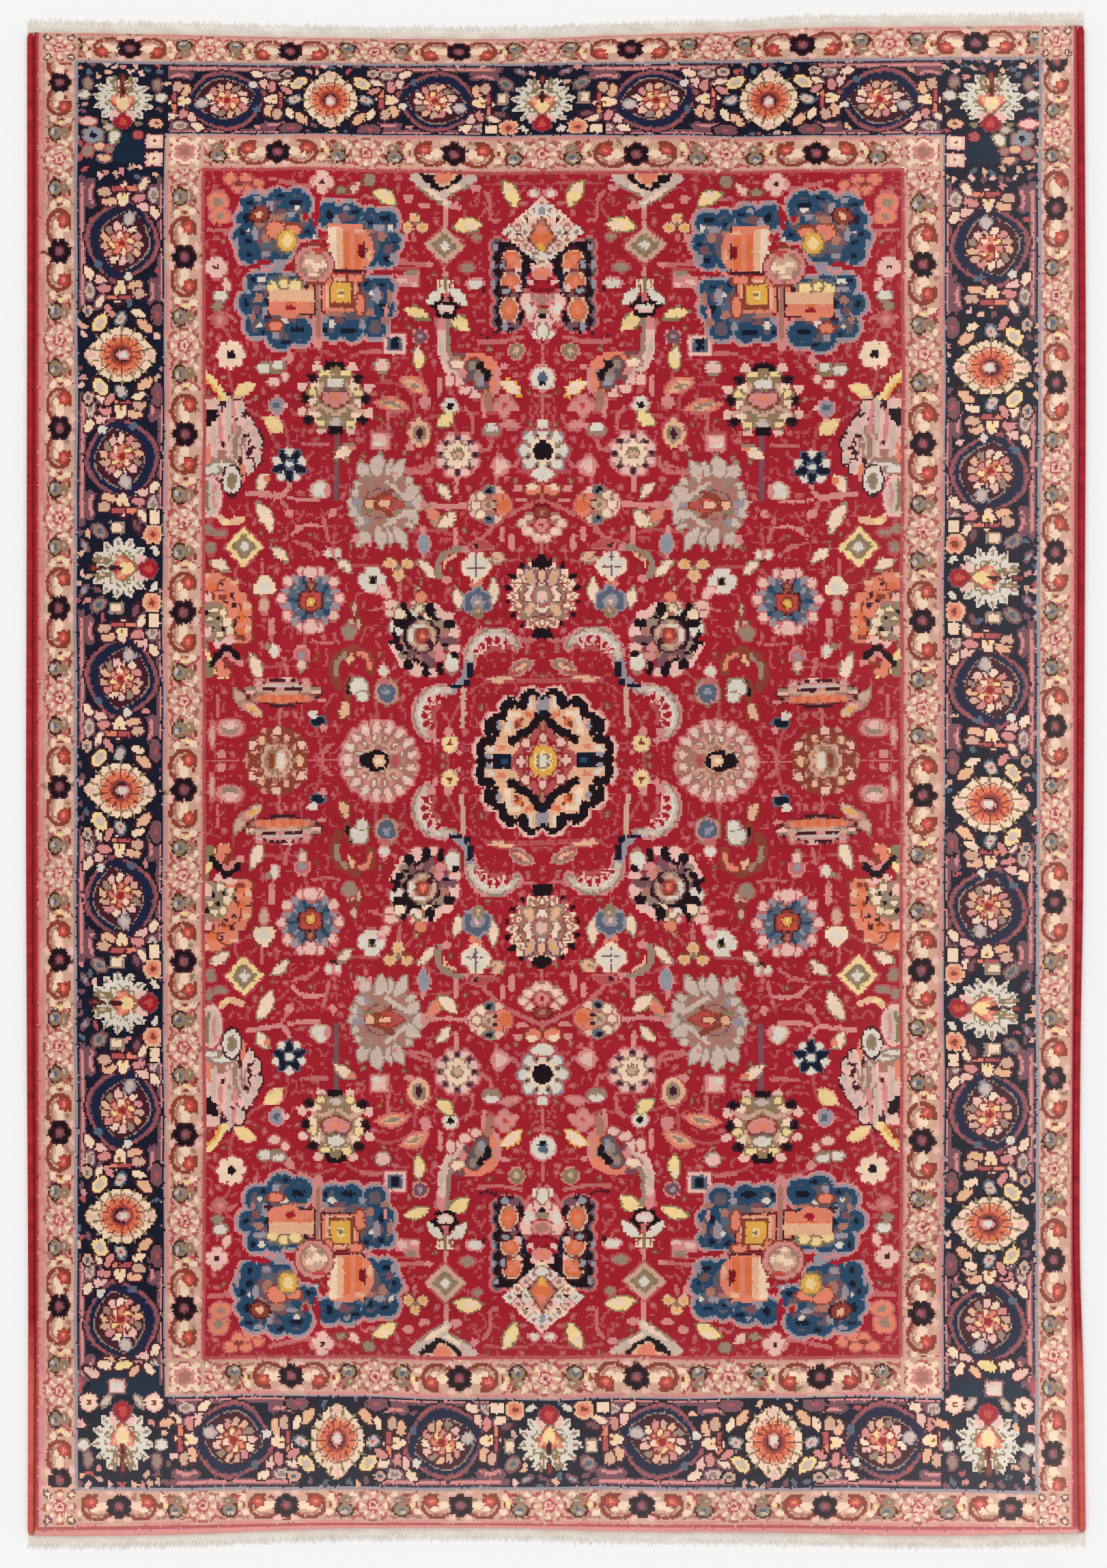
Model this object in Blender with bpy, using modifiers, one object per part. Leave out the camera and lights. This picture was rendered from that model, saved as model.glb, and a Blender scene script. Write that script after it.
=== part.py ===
"""A hand-knotted medallion rug lying flat, about 2.0 m by 2.9 m.

Five pieces: the knotted body with its pile, an overcast cord along each side, and a narrow
flat-woven end with a short warp fringe at the top and at the bottom. Metres, +Z up. The origin is
on the floor, under the middle of the rug's box, with the rug's top towards +Y.
"""

import random
from collections import namedtuple

import bmesh
import bpy

# Sizes across the thickness.
PILE_HEIGHT = 0.010  # floor to the tips of the pile
PILE_ROUNDING = 0.0025  # rounded edge of the pile
CORD_HEIGHT = 0.009  # overcast side cord, a flattened round
CORD_WIDTH = 0.014
END_THICKNESS = 0.0025  # flat-woven end, and the fringe that lies on the floor
GAP = 0.0003  # clearance between pieces that touch

# The rug's edges, as uneven as they lie: along is a place on the edge, and reach is how far the
# edge lies from the rug's middle there.
EdgePoint = namedtuple("EdgePoint", "along reach")
LEFT_EDGE = [
    EdgePoint(-1.428, -1.000),
    EdgePoint(-0.978, -0.999),
    EdgePoint(-0.598, -1.001),
    EdgePoint(-0.098, -1.003),
    EdgePoint(0.402, -1.002),
    EdgePoint(0.902, -1.001),
    EdgePoint(1.432, -1.001),
]
RIGHT_EDGE = [
    EdgePoint(-1.428, 1.003),
    EdgePoint(-1.138, 0.999),
    EdgePoint(-0.898, 0.992),
    EdgePoint(-0.518, 0.993),
    EdgePoint(-0.198, 0.998),
    EdgePoint(0.302, 1.001),
    EdgePoint(0.802, 1.003),
    EdgePoint(1.432, 1.000),
]
TOP_EDGE = [
    EdgePoint(-1.010, 1.416),
    EdgePoint(-0.750, 1.412),
    EdgePoint(-0.420, 1.405),
    EdgePoint(-0.050, 1.404),
    EdgePoint(0.130, 1.411),
    EdgePoint(0.340, 1.417),
    EdgePoint(0.470, 1.424),
    EdgePoint(0.760, 1.427),
    EdgePoint(1.010, 1.429),
]
BOTTOM_EDGE = [
    EdgePoint(-1.010, -1.428),
    EdgePoint(-0.750, -1.426),
    EdgePoint(-0.420, -1.414),
    EdgePoint(-0.100, -1.413),
    EdgePoint(0.130, -1.419),
    EdgePoint(0.400, -1.421),
    EdgePoint(0.690, -1.427),
    EdgePoint(1.010, -1.422),
]

# The flat-woven ends and their fringe.
WEAVE_WIDTH = 0.014  # from the pile's end to the fringe's roots
LOCKS = 140  # at each end
LOCK_WIDTH = 0.0085
TIP_SHARE = 0.6  # a lock's width at its tip over its width at its root
LOCK_LENGTH = (0.008, 0.015)  # shortest and longest
LOCK_LEAN = 0.0014  # sideways reach of a tip
SEED = 7

EDGE_STEP = 0.06  # length of an outline's straight steps

COLLECTION = "persian_rug"


def clear_scene():
    for thing in list(bpy.data.objects):
        bpy.data.objects.remove(thing, do_unlink=True)


def finish(name, colour, roughness):
    """A plain dyed-yarn material."""
    material = bpy.data.materials.new(name)
    material.use_nodes = True
    shader = material.node_tree.nodes["Principled BSDF"]
    shader.inputs["Base Color"].default_value = (*colour, 1.0)
    shader.inputs["Roughness"].default_value = roughness
    shader.inputs["Metallic"].default_value = 0.0
    return material


def edge_at(points, place):
    """The edge's reach at a place along it: a smooth curve through the points."""
    last = len(points) - 2
    i = next((k for k in range(last) if place < points[k + 1].along), last)
    start, end = points[i], points[i + 1]
    before, after = points[max(i - 1, 0)], points[min(i + 2, len(points) - 1)]
    span = end.along - start.along
    t = min(max((place - start.along) / span, 0.0), 1.0)
    slope_in = (end.reach - before.reach) / (end.along - before.along) * span
    slope_out = (after.reach - start.reach) / (after.along - start.along) * span
    return (
        start.reach * (1 + 2 * t) * (1 - t) ** 2
        + slope_in * t * (1 - t) ** 2
        + end.reach * t * t * (3 - 2 * t)
        - slope_out * t * t * (1 - t)
    )


def left_x(y):
    return edge_at(LEFT_EDGE, y)


def right_x(y):
    return edge_at(RIGHT_EDGE, y)


def top_y(x):
    return edge_at(TOP_EDGE, x)


def bottom_y(x):
    return edge_at(BOTTOM_EDGE, x)


def spread(low, high):
    """Even places from low to high, about EDGE_STEP apart."""
    steps = max(2, round(abs(high - low) / EDGE_STEP))
    return [low + (high - low) * i / steps for i in range(steps + 1)]


def outline_between(left, right, inset):
    """Corners, in order, of a piece between two side lines and the pile's two ends, drawn in by
    inset. left and right give x at y."""

    def side(line, inwards):
        corners = []
        for pile_edge, up in ((bottom_y, 1), (top_y, -1)):
            x = line(pile_edge(0.0)) + inwards * inset
            corners.append(pile_edge(x) + up * inset)
        return [(line(y) + inwards * inset, y) for y in spread(*corners)]

    going_up = side(right, -1)
    going_down = side(left, 1)[::-1]
    across = spread(going_up[-1][0], going_down[0][0])[1:-1]
    back = spread(going_down[-1][0], going_up[0][0])[1:-1]
    return [
        *going_up,
        *((x, top_y(x) - inset) for x in across),
        *going_down,
        *((x, bottom_y(x) + inset) for x in back),
    ]


def slab(name, outline, height, rounding, material, collection):
    """A flat piece on the floor: the outline filled and given its height, its edges rounded by
    a bevel that reaches out from the outline."""
    curve = bpy.data.curves.new(name, "CURVE")
    curve.dimensions = "2D"
    curve.fill_mode = "BOTH"
    curve.extrude = height / 2 - rounding
    curve.bevel_depth = rounding
    curve.bevel_resolution = 2
    spline = curve.splines.new("POLY")
    spline.points.add(len(outline) - 1)
    for point, (x, y) in zip(spline.points, outline):
        point.co = (x, y, 0.0, 1.0)
    spline.use_cyclic_u = True
    curve.materials.append(material)
    piece = bpy.data.objects.new(name, curve)
    piece.location.z = height / 2
    collection.objects.link(piece)
    return piece


def fringed_end(name, pile_edge, outwards, seed, material, collection):
    """A flat-woven strip along the pile's end, with short warp locks drawn out of its outer edge.
    outwards is 1 for the top and -1 for the bottom."""
    chance = random.Random(seed)
    left, right = left_x(pile_edge(0.0)), right_x(pile_edge(0.0))
    pitch = (right - left) / LOCKS
    columns = [left]
    for i in range(LOCKS):
        middle = left + (i + 0.5) * pitch
        columns += [middle - LOCK_WIDTH / 2, middle + LOCK_WIDTH / 2]
    columns.append(right)

    bm = bmesh.new()
    bmesh.ops.create_grid(bm, x_segments=len(columns) - 1, y_segments=1, size=1.0)
    by_x = sorted(bm.verts, key=lambda vertex: vertex.co.x)
    inner = [vertex for vertex in by_x if vertex.co.y * outwards < 0]
    outer = [vertex for vertex in by_x if vertex.co.y * outwards > 0]
    for row, reach in ((inner, GAP), (outer, WEAVE_WIDTH)):
        for vertex, x in zip(row, columns):
            vertex.co = (x, pile_edge(x) + reach * outwards, 0.0)
    for k in range(1, 2 * LOCKS, 2):
        root = bm.edges.get((outer[k], outer[k + 1]))
        grown = bmesh.ops.extrude_edge_only(bm, edges=[root])["geom"]
        tips = [thing for thing in grown if isinstance(thing, bmesh.types.BMVert)]
        tips.sort(key=lambda vertex: vertex.co.x)
        middle = (tips[0].co + tips[1].co) / 2
        middle.x += chance.uniform(-LOCK_LEAN, LOCK_LEAN)
        middle.y += chance.uniform(*LOCK_LENGTH) * outwards
        for tip, side in zip(tips, (-1, 1)):
            tip.co = (middle.x + side * LOCK_WIDTH * TIP_SHARE / 2, middle.y, 0.0)
    bmesh.ops.recalc_face_normals(bm, faces=bm.faces)
    if next(iter(bm.faces)).normal.z < 0:
        bmesh.ops.reverse_faces(bm, faces=bm.faces)
    mesh = bpy.data.meshes.new(name)
    bm.to_mesh(mesh)
    bm.free()

    mesh.materials.append(material)
    piece = bpy.data.objects.new(name, mesh)
    thickness = piece.modifiers.new("thickness", "SOLIDIFY")
    thickness.thickness = END_THICKNESS
    thickness.offset = 1.0  # the strip lies on the floor and its thickness goes up
    collection.objects.link(piece)
    return piece


def build():
    clear_scene()
    collection = bpy.data.collections.new(COLLECTION)
    bpy.context.scene.collection.children.link(collection)

    pile = finish("crimson_pile", (0.42, 0.03, 0.05), 0.9)
    wrap = finish("red_overcast", (0.44, 0.03, 0.04), 0.85)
    cotton = finish("cream_cotton", (0.78, 0.70, 0.60), 0.9)

    def inner_left(y):
        return left_x(y) + CORD_WIDTH

    def inner_right(y):
        return right_x(y) - CORD_WIDTH

    body = outline_between(
        lambda y: inner_left(y) + GAP, lambda y: inner_right(y) - GAP, PILE_ROUNDING
    )
    slab("rug", body, PILE_HEIGHT, PILE_ROUNDING, pile, collection)

    roundness = CORD_HEIGHT / 2 - GAP
    for name, left, right in (
        ("selvedge_left", left_x, inner_left),
        ("selvedge_right", inner_right, right_x),
    ):
        cord = outline_between(left, right, roundness)
        slab(name, cord, CORD_HEIGHT, roundness, wrap, collection)

    fringed_end("end_top", top_y, 1, SEED, cotton, collection)
    fringed_end("end_bottom", bottom_y, -1, SEED + 1, cotton, collection)


build()
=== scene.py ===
"""A hand-knotted medallion rug, lying flat and seen from straight above.

The pattern is drawn first, as a weaver's chart: a grid with the dye of every knot, filled motif by
motif from shapes. The pile, the overcast side cords, the flat-woven ends and their fringe are then
built over it. The chart's sizes are in millimetres from the middle of the medallion, p across and
q along. Everything else is in metres.
"""

import math
import random
from collections import namedtuple

import bpy
import numpy as np
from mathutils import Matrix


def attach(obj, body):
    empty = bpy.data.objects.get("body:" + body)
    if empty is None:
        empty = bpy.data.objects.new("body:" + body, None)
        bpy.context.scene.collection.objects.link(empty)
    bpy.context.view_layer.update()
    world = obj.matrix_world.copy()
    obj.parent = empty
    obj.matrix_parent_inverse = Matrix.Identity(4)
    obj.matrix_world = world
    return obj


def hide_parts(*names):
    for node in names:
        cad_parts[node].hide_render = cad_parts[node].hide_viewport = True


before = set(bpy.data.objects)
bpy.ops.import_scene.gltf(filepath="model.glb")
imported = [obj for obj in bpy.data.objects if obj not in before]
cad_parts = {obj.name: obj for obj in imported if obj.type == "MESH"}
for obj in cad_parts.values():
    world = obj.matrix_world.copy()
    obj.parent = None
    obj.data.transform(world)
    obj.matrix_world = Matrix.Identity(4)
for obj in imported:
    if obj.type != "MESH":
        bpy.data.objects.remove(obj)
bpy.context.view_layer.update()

# ---------------------------------------------------------------- dyes

DYES = {
    "crimson": (157, 27, 41),
    "deep_red": (122, 16, 30),
    "navy": (20, 22, 40),
    "black": (26, 12, 20),
    "maroon": (66, 24, 36),
    "teal": (38, 68, 96),
    "steel": (86, 96, 112),
    "blue_grey": (140, 142, 152),
    "ivory": (214, 202, 188),
    "cream": (234, 202, 174),
    "butter": (234, 202, 142),
    "peach": (222, 170, 136),
    "salmon": (218, 126, 100),
    "orange": (214, 108, 66),
    "coral": (188, 72, 62),
    "gold": (218, 162, 74),
    "olive": (136, 116, 84),
    "rose": (206, 132, 128),
    "pale_pink": (226, 178, 166),
    "vine": (188, 102, 102),
    "mauve": (118, 76, 84),
    "rust": (136, 60, 46),
    "taupe": (150, 124, 108),
    "tan": (202, 158, 136),
    "lilac": (150, 138, 146),
    "rosewood": (174, 78, 80),
    "clay": (166, 112, 98),
    "ash": (98, 84, 92),
    "stone": (198, 174, 162),
    "indigo": (26, 30, 58),
    "deep_teal": (18, 36, 56),
}
DYE_NUMBER = {name: number for number, name in enumerate(DYES)}

# ---------------------------------------------------------------- the rug's measures

PILE_HEIGHT = 0.010
PILE_ROUNDING = 0.0025
PILE_UNEVEN = 0.0004  # how far the pile dips here and there
BACK_HEIGHT = 0.003
BACK_OVERLAP = 0.0004  # how far the pile's tiles reach down into the back
CORD_HEIGHT = 0.009
CORD_WIDTH = 0.014
WEAVE_WIDTH = 0.014
WEFT_RIDGES = 7
GAP = 0.0003
FRAME_HEIGHT = 2296 * 0.001293  # of the picture on the floor: 2296 pixels of 1.293 mm

# How the chart is laid on the mesh. Each mesh face is a block of knots.
KNOT = 3.2  # a knot's side on the chart, mm
BLOCK = 4  # knots along a side of a face
FACE = KNOT * BLOCK
BLOCKS_ACROSS, BLOCKS_ALONG = 154, 226
RIM_LINES = [0.06, 0.2]  # extra grid lines where the pile is rounded, in blocks from its edge
TILES = 4  # of the pile, across and along
PACKING = 32  # a row of a block is one number with this base, so there can be 32 dyes
CHART_ROW = "chart_row_{}"  # the mesh attribute with the blocks' row of that number

CHART_LEFT = -KNOT * BLOCK * BLOCKS_ACROSS / 2
CHART_BOTTOM = -1454.4
CHART_RIGHT = -CHART_LEFT
CHART_TOP = CHART_BOTTOM + KNOT * BLOCK * BLOCKS_ALONG

# Half sizes of the chart's bands.
FIELD_P, FIELD_Q = 648, 1120
INNER_P, INNER_Q = 722, 1194  # outer side of the inner guard
MAIN_P, MAIN_Q = 893, 1365  # outer side of the main border
OUTER_P, OUTER_Q = 965, 1437  # outer side of the outer guard
PINK_P = 972  # outer side of the pink line past it

# The rug's edges, as uneven as they lie. Each pair is a place along the edge, and how far the
# edge lies from the rug's middle there.
LEFT_EDGE = [
    (-1.428, -1.000), (-0.978, -0.999), (-0.598, -1.001), (-0.098, -1.003), (0.402, -1.002),
    (0.902, -1.001), (1.432, -1.001),
]
RIGHT_EDGE = [
    (-1.428, 1.003), (-1.138, 0.999), (-0.898, 0.992), (-0.518, 0.993), (-0.198, 0.998),
    (0.302, 1.001), (0.802, 1.003), (1.432, 1.000),
]
TOP_EDGE = [
    (-1.010, 1.416), (-0.750, 1.412), (-0.420, 1.405), (-0.050, 1.404), (0.130, 1.411),
    (0.340, 1.417), (0.470, 1.424), (0.760, 1.427), (1.010, 1.429),
]
BOTTOM_EDGE = [
    (-1.010, -1.428), (-0.750, -1.426), (-0.420, -1.414), (-0.100, -1.413), (0.130, -1.419),
    (0.400, -1.421), (0.690, -1.427), (1.010, -1.422),
]

# Where the lines between the bands lie on the rug, in metres: BandLine.chart is the line's place
# on the chart, and reaches are its places on the rug, evenly spaced along it.
BandLine = namedtuple("BandLine", "chart reaches")
LINES_ACROSS = [  # reaches from the bottom to the top
    BandLine(-PINK_P, (-0.981, -0.981, -0.981)),
    BandLine(-OUTER_P, (-0.971, -0.971, -0.971)),
    BandLine(-MAIN_P, (-0.904, -0.906, -0.904)),
    BandLine(-INNER_P, (-0.735, -0.740, -0.735)),
    BandLine(-FIELD_P, (-0.663, -0.664, -0.664)),
    BandLine(0, (-0.026, -0.026, -0.026)),
    BandLine(FIELD_P, (0.650, 0.652, 0.656)),
    BandLine(INNER_P, (0.729, 0.730, 0.732)),
    BandLine(MAIN_P, (0.906, 0.909, 0.914)),
    BandLine(OUTER_P, (0.972, 0.977, 0.978)),
]
LINES_ALONG = [  # reaches from the left to the right
    BandLine(-OUTER_Q, (-1.409, -1.402, -1.404, -1.406, -1.410)),
    BandLine(-MAIN_Q, (-1.336, -1.335, -1.335, -1.336, -1.343)),
    BandLine(-INNER_Q, (-1.158, -1.159, -1.167, -1.160, -1.167)),
    BandLine(-FIELD_Q, (-1.088, -1.088, -1.088, -1.088, -1.088)),
    BandLine(0, (0.038, 0.038, 0.038, 0.038, 0.038)),
    BandLine(FIELD_Q, (1.158, 1.155, 1.147, 1.152, 1.155)),
    BandLine(INNER_Q, (1.225, 1.219, 1.217, 1.217, 1.217)),
    BandLine(MAIN_Q, (1.359, 1.352, 1.353, 1.360, 1.365)),
]


def edge_at(points, place):
    """The edge's reach at a place along it: a smooth curve through the points."""
    last = len(points) - 2
    i = next((k for k in range(last) if place < points[k + 1][0]), last)
    (before, low), (start, reach), (end, next_reach), (after, high) = (
        points[min(max(i + k, 0), len(points) - 1)] for k in (-1, 0, 1, 2)
    )
    span = end - start
    t = min(max((place - start) / span, 0.0), 1.0)
    slope_in = (next_reach - low) / (end - before) * span
    slope_out = (high - reach) / (after - start) * span
    return (
        reach * (1 + 2 * t) * (1 - t) ** 2
        + slope_in * t * (1 - t) ** 2
        + next_reach * t * t * (3 - 2 * t)
        - slope_out * t * t * (1 - t)
    )


# ---------------------------------------------------------------- shapes for the chart

# distance(x, y) is below 0 inside the shape, and reach is the radius that holds it.
Shape = namedtuple("Shape", "reach distance")


def oval(wide, high=None):
    """An oval of those half sizes, or a disc."""
    high = high or wide

    def distance(x, y):
        return (np.hypot(x / wide, y / high) - 1) * min(wide, high)

    return Shape(max(wide, high), distance)


def lobed(count, valley, tip, wide=1.0, sharp=0.0):
    """A flower's outline: lobes between two radii, or points with sharp at 1, drawn out sideways
    by wide. One lobe points up."""

    def distance(x, y):
        x = x / wide
        turn = np.arctan2(x, y) * count / (2 * math.pi)
        off = np.abs(turn - np.round(turn)) * 2
        rise = sharp * (1 - off) + (1 - sharp) * np.sqrt(1 - off**2)
        return np.hypot(x, y) - (valley + (tip - valley) * rise)

    return Shape(tip * max(wide, 1), distance)


def diamond(wide, high):
    def distance(x, y):
        return (np.abs(x) / wide + np.abs(y) / high - 1) * wide * high / math.hypot(wide, high)

    return Shape(max(wide, high), distance)


def box(wide, high):
    def distance(x, y):
        return np.maximum(np.abs(x) - wide, np.abs(y) - high)

    return Shape(math.hypot(wide, high), distance)


def leaf(length, wide, bend=0.0, belly=0.5):
    """A leaf from its stalk at the origin up to its tip, widest at belly of its length, its
    middle pushed sideways by bend."""
    power = math.log(0.5) / math.log(belly)

    def distance(x, y):
        t = np.clip(y / length, 0, 1)
        middle = bend * 4 * t * (1 - t)
        half = wide / 2 * np.sin(math.pi * t**power) ** 0.8
        return np.maximum(np.abs(x - middle) - half, np.maximum(y - length, -y))

    return Shape(math.hypot(length, abs(bend) + wide), distance)


def arc(radius, start, end, wide, taper=0.0):
    """A round-ended band of a circle, from start to end in degrees clockwise from up. With taper
    at 1 it thins away to its ends."""

    def distance(x, y):
        middle, half = (start + end) / 2, (end - start) / 2
        off = (np.degrees(np.arctan2(x, y)) - middle + 180) % 360 - 180
        off = np.clip(off, -half, half)
        angle = np.radians(middle + off)
        thick = wide / 2 * (1 - taper * (off / half) ** 2)
        return np.hypot(x - radius * np.sin(angle), y - radius * np.cos(angle)) - thick

    return Shape(radius + wide, distance)


def cloud(*rounds):
    """Discs run together. Each is x, y, radius."""

    def distance(x, y):
        return np.min([np.hypot(x - at_x, y - at_y) - r for at_x, at_y, r in rounds], axis=0)

    return Shape(max(math.hypot(x, y) + r for x, y, r in rounds), distance)


def smooth_run(points):
    """Points along a smooth curve through the given ones, six steps from each to the next."""
    steps = 6
    ends = [points[0], *points, points[-1]]
    run = []
    for a, b, c, d in zip(ends, ends[1:], ends[2:], ends[3:]):
        for i in range(steps):
            t = i / steps
            run.append(
                tuple(
                    0.5 * (2 * b[k] + (c[k] - a[k]) * t)
                    + 0.5 * (2 * a[k] - 5 * b[k] + 4 * c[k] - d[k]) * t**2
                    + 0.5 * (3 * b[k] - a[k] - 3 * c[k] + d[k]) * t**3
                    for k in (0, 1)
                )
            )
    return [*run, tuple(points[-1])]


class Hand:
    """Draws on a chart from a place of its own, which may be turned, stretched or turned over.
    Turns are in degrees, clockwise."""

    def __init__(self, chart, origin=(0.0, 0.0), axes=((1.0, 0.0), (0.0, 1.0))):
        self.chart = chart
        self.origin = np.array(origin, float)
        self.axes = np.array(axes, float)  # columns: this hand's x and y on the chart

    def at(self, x, y, turn=0.0, flip=False):
        c, s = math.cos(math.radians(turn)), math.sin(math.radians(turn))
        turned = np.array([[c, s], [-s, c]])
        if flip:
            turned = turned @ np.diag([-1.0, 1.0])
        return Hand(self.chart, self.origin + self.axes @ (x, y), self.axes @ turned)

    def around(self, count, radius, first=0.0):
        """Hands spaced around this one, each pointing outwards."""
        for i in range(count):
            angle = first + 360 * i / count
            x = radius * math.sin(math.radians(angle))
            y = radius * math.cos(math.radians(angle))
            yield self.at(x, y, angle)

    def both(self, x=0, y=0, turn=0.0):
        """A place and its mirror image, or this one both ways round."""
        yield self.at(x, y, turn)
        yield self.at(-x, y, -turn, flip=True)

    def ring(self, count, radius, shape, first=0.0, **coats):
        """Lays a shape at places spaced around this one, each pointing outwards."""
        for place in self.around(count, radius, first):
            place.lay(shape, **coats)

    def pair(self, x, y, shape, turn=0.0, **coats):
        """Lays a shape and its mirror image."""
        for place in self.both(x, y, turn):
            place.lay(shape, **coats)

    def stretched(self, across, along):
        """The same place, its sizes stretched in its own directions."""
        wider = self.at(0, 0)
        wider.axes = wider.axes @ np.diag([float(across), float(along)])
        return wider

    def lay(self, shape, **coats):
        """Fills the shape, dye by dye. A coat's number is how far it reaches past the outline."""
        scale = math.sqrt(abs(np.linalg.det(self.axes)))
        reach = (shape.reach + max(0, *coats.values())) * scale + KNOT * len(coats)
        window, p, q = self.chart.window(*self.origin, reach)
        if not p.size or not q.size:
            return
        back = np.linalg.inv(self.axes)
        dp, dq = p[None, :] - self.origin[0], q[:, None] - self.origin[1]
        distance = shape.distance(
            back[0, 0] * dp + back[0, 1] * dq, back[1, 0] * dp + back[1, 1] * dq
        )
        reaches = list(coats.values())
        for i in range(len(reaches) - 2, -1, -1):
            reaches[i] = max(reaches[i], reaches[i + 1] + KNOT / scale)
        for dye, past in zip(coats, reaches):
            window[distance <= past] = DYE_NUMBER[dye]

    def stroke(self, points, wide, dye):
        """A smooth line of one width, at least wide enough to join up in knots."""
        scale = math.sqrt(abs(np.linalg.det(self.axes)))
        wide = max(wide, KNOT * 1.3 / scale)
        run = smooth_run(points)
        for (x0, y0), (x1, y1) in zip(run, run[1:]):
            length = math.hypot(x1 - x0, y1 - y0)
            turn = math.degrees(math.atan2(x1 - x0, y1 - y0))
            middle = self.at((x0 + x1) / 2, (y0 + y1) / 2, turn)
            middle.lay(capsule(length, wide), **{dye: 0})


def capsule(length, wide):
    """A straight round-ended bar."""

    def distance(x, y):
        return np.hypot(x, y - np.clip(y, -length / 2, length / 2)) - wide / 2

    return Shape((length + wide) / 2, distance)


class Chart:
    """The dye number of every knot between two corners."""

    def __init__(self, left, bottom, right, top, ground):
        columns, rows = round((right - left) / KNOT), round((top - bottom) / KNOT)
        self.dyes = np.full((rows, columns), DYE_NUMBER[ground], np.uint8)
        self.p = left + (np.arange(columns) + 0.5) * KNOT
        self.q = bottom + (np.arange(rows) + 0.5) * KNOT
        self.limits = (left, bottom, right, top)

    def window(self, p, q, reach):
        """The knots within reach of a place and the limits, and their columns' and rows' places."""
        left, bottom, right, top = self.limits
        first, last = np.searchsorted(self.p, (max(p - reach, left), min(p + reach, right)))
        low, high = np.searchsorted(self.q, (max(q - reach, bottom), min(q + reach, top)))
        return self.dyes[low:high, first:last], self.p[first:last], self.q[low:high]

    def bare(self, p, q, radius, ground):
        """Whether every knot within the radius of a place still has the ground's dye."""
        window, _, _ = self.window(p, q, radius)
        return window.size and bool((window == DYE_NUMBER[ground]).all())

    def strew(self, ground, pitch, clear, draw, seed):
        """Draws small pieces, each turned its own way, where the ground inside the limits is
        still bare. pitch is their spacing, and clear is the bare radius each one wants."""
        chance = random.Random(seed)
        left, bottom, right, top = self.limits
        for q in np.arange(bottom + pitch / 2, top, pitch):
            for p in np.arange(left + pitch / 2, right, pitch):
                at_p = p + chance.uniform(-1, 1) * pitch / 3
                at_q = q + chance.uniform(-1, 1) * pitch / 3
                turn = chance.choice(range(0, 360, 45)) + chance.uniform(-15, 15)
                kind = chance.random()
                if self.bare(at_p, at_q, clear, ground):
                    draw(Hand(self).at(at_p, at_q, turn), kind)

    def strip(self, left, bottom, right, top, dye):
        """Fills a straight-sided patch, and keeps what is drawn next inside it."""
        self.limits = (left, bottom, right, top)
        columns = (self.p > left) & (self.p < right)
        rows = (self.q > bottom) & (self.q < top)
        self.dyes[np.ix_(rows, columns)] = DYE_NUMBER[dye]

    def band(self, half_p, half_q, dye):
        """The same for a patch about the chart's middle."""
        self.strip(-half_p, -half_q, half_p, half_q, dye)


# ---------------------------------------------------------------- small motifs

RIM = 2.5  # how far a leaf's or a spot's outline reaches past it


def leaves(hand, edge="taupe", **places):
    """Leaves, dye by dye. Each is the x and y of its stalk, those of its tip, and its width."""
    for dye, rows in places.items():
        for x0, y0, x1, y1, wide in rows:
            turn = math.degrees(math.atan2(x1 - x0, y1 - y0))
            shape = leaf(math.hypot(x1 - x0, y1 - y0), wide, wide * 0.12)
            hand.at(x0, y0, turn).lay(shape, **{edge: RIM, dye: 0})


def spots(hand, edge=None, **places):
    """Ovals, dye by dye. Each is x and y, and its half sizes across and up or its radius."""
    rim = {edge: RIM} if edge else {}
    for dye, rows in places.items():
        for x, y, *half in rows:
            hand.at(x, y).lay(oval(*half), **rim, **{dye: 0})


def blocks(hand, **places):
    """Boxes, dye by dye. Each is x and y and its half sizes across and up."""
    for dye, rows in places.items():
        for x, y, wide, high in rows:
            hand.at(x, y).lay(box(wide, high), **{dye: 0})


def stems(hand, **lines):
    """Lines, dye by dye. Each dye has a width, and the runs of points that it follows."""
    for dye, (wide, *runs) in lines.items():
        for run in runs:
            hand.stroke(run, wide, dye)


def small_flower(hand, dye="cream", core="maroon", size=20):
    hand.lay(lobed(8, size * 0.72, size), rosewood=2, **{dye: 0})
    hand.lay(oval(size * 0.3), **{core: 0})


def four_petals(hand, dye="rose", core="coral", size=17):
    hand.lay(lobed(4, size * 0.6, size), vine=2.5, **{dye: 0})
    hand.lay(oval(size * 0.24), **{core: 0})


def ringed_flower(hand, ring="steel", core="blue_grey", size=18, rim="rose"):
    """A round flower of one dye about another, in a pale rim."""
    hand.lay(oval(size), **{rim: 3, ring: 0, core: -size * 0.55})


def clover(hand):
    """A gold flower of three round petals."""
    hand.lay(cloud((0, 12, 10), (-14, -6, 10), (14, -6, 10)), rust=2.5, peach=0, gold=-6)
    hand.lay(oval(5), olive=0)


# ---------------------------------------------------------------- the field's motifs


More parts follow.
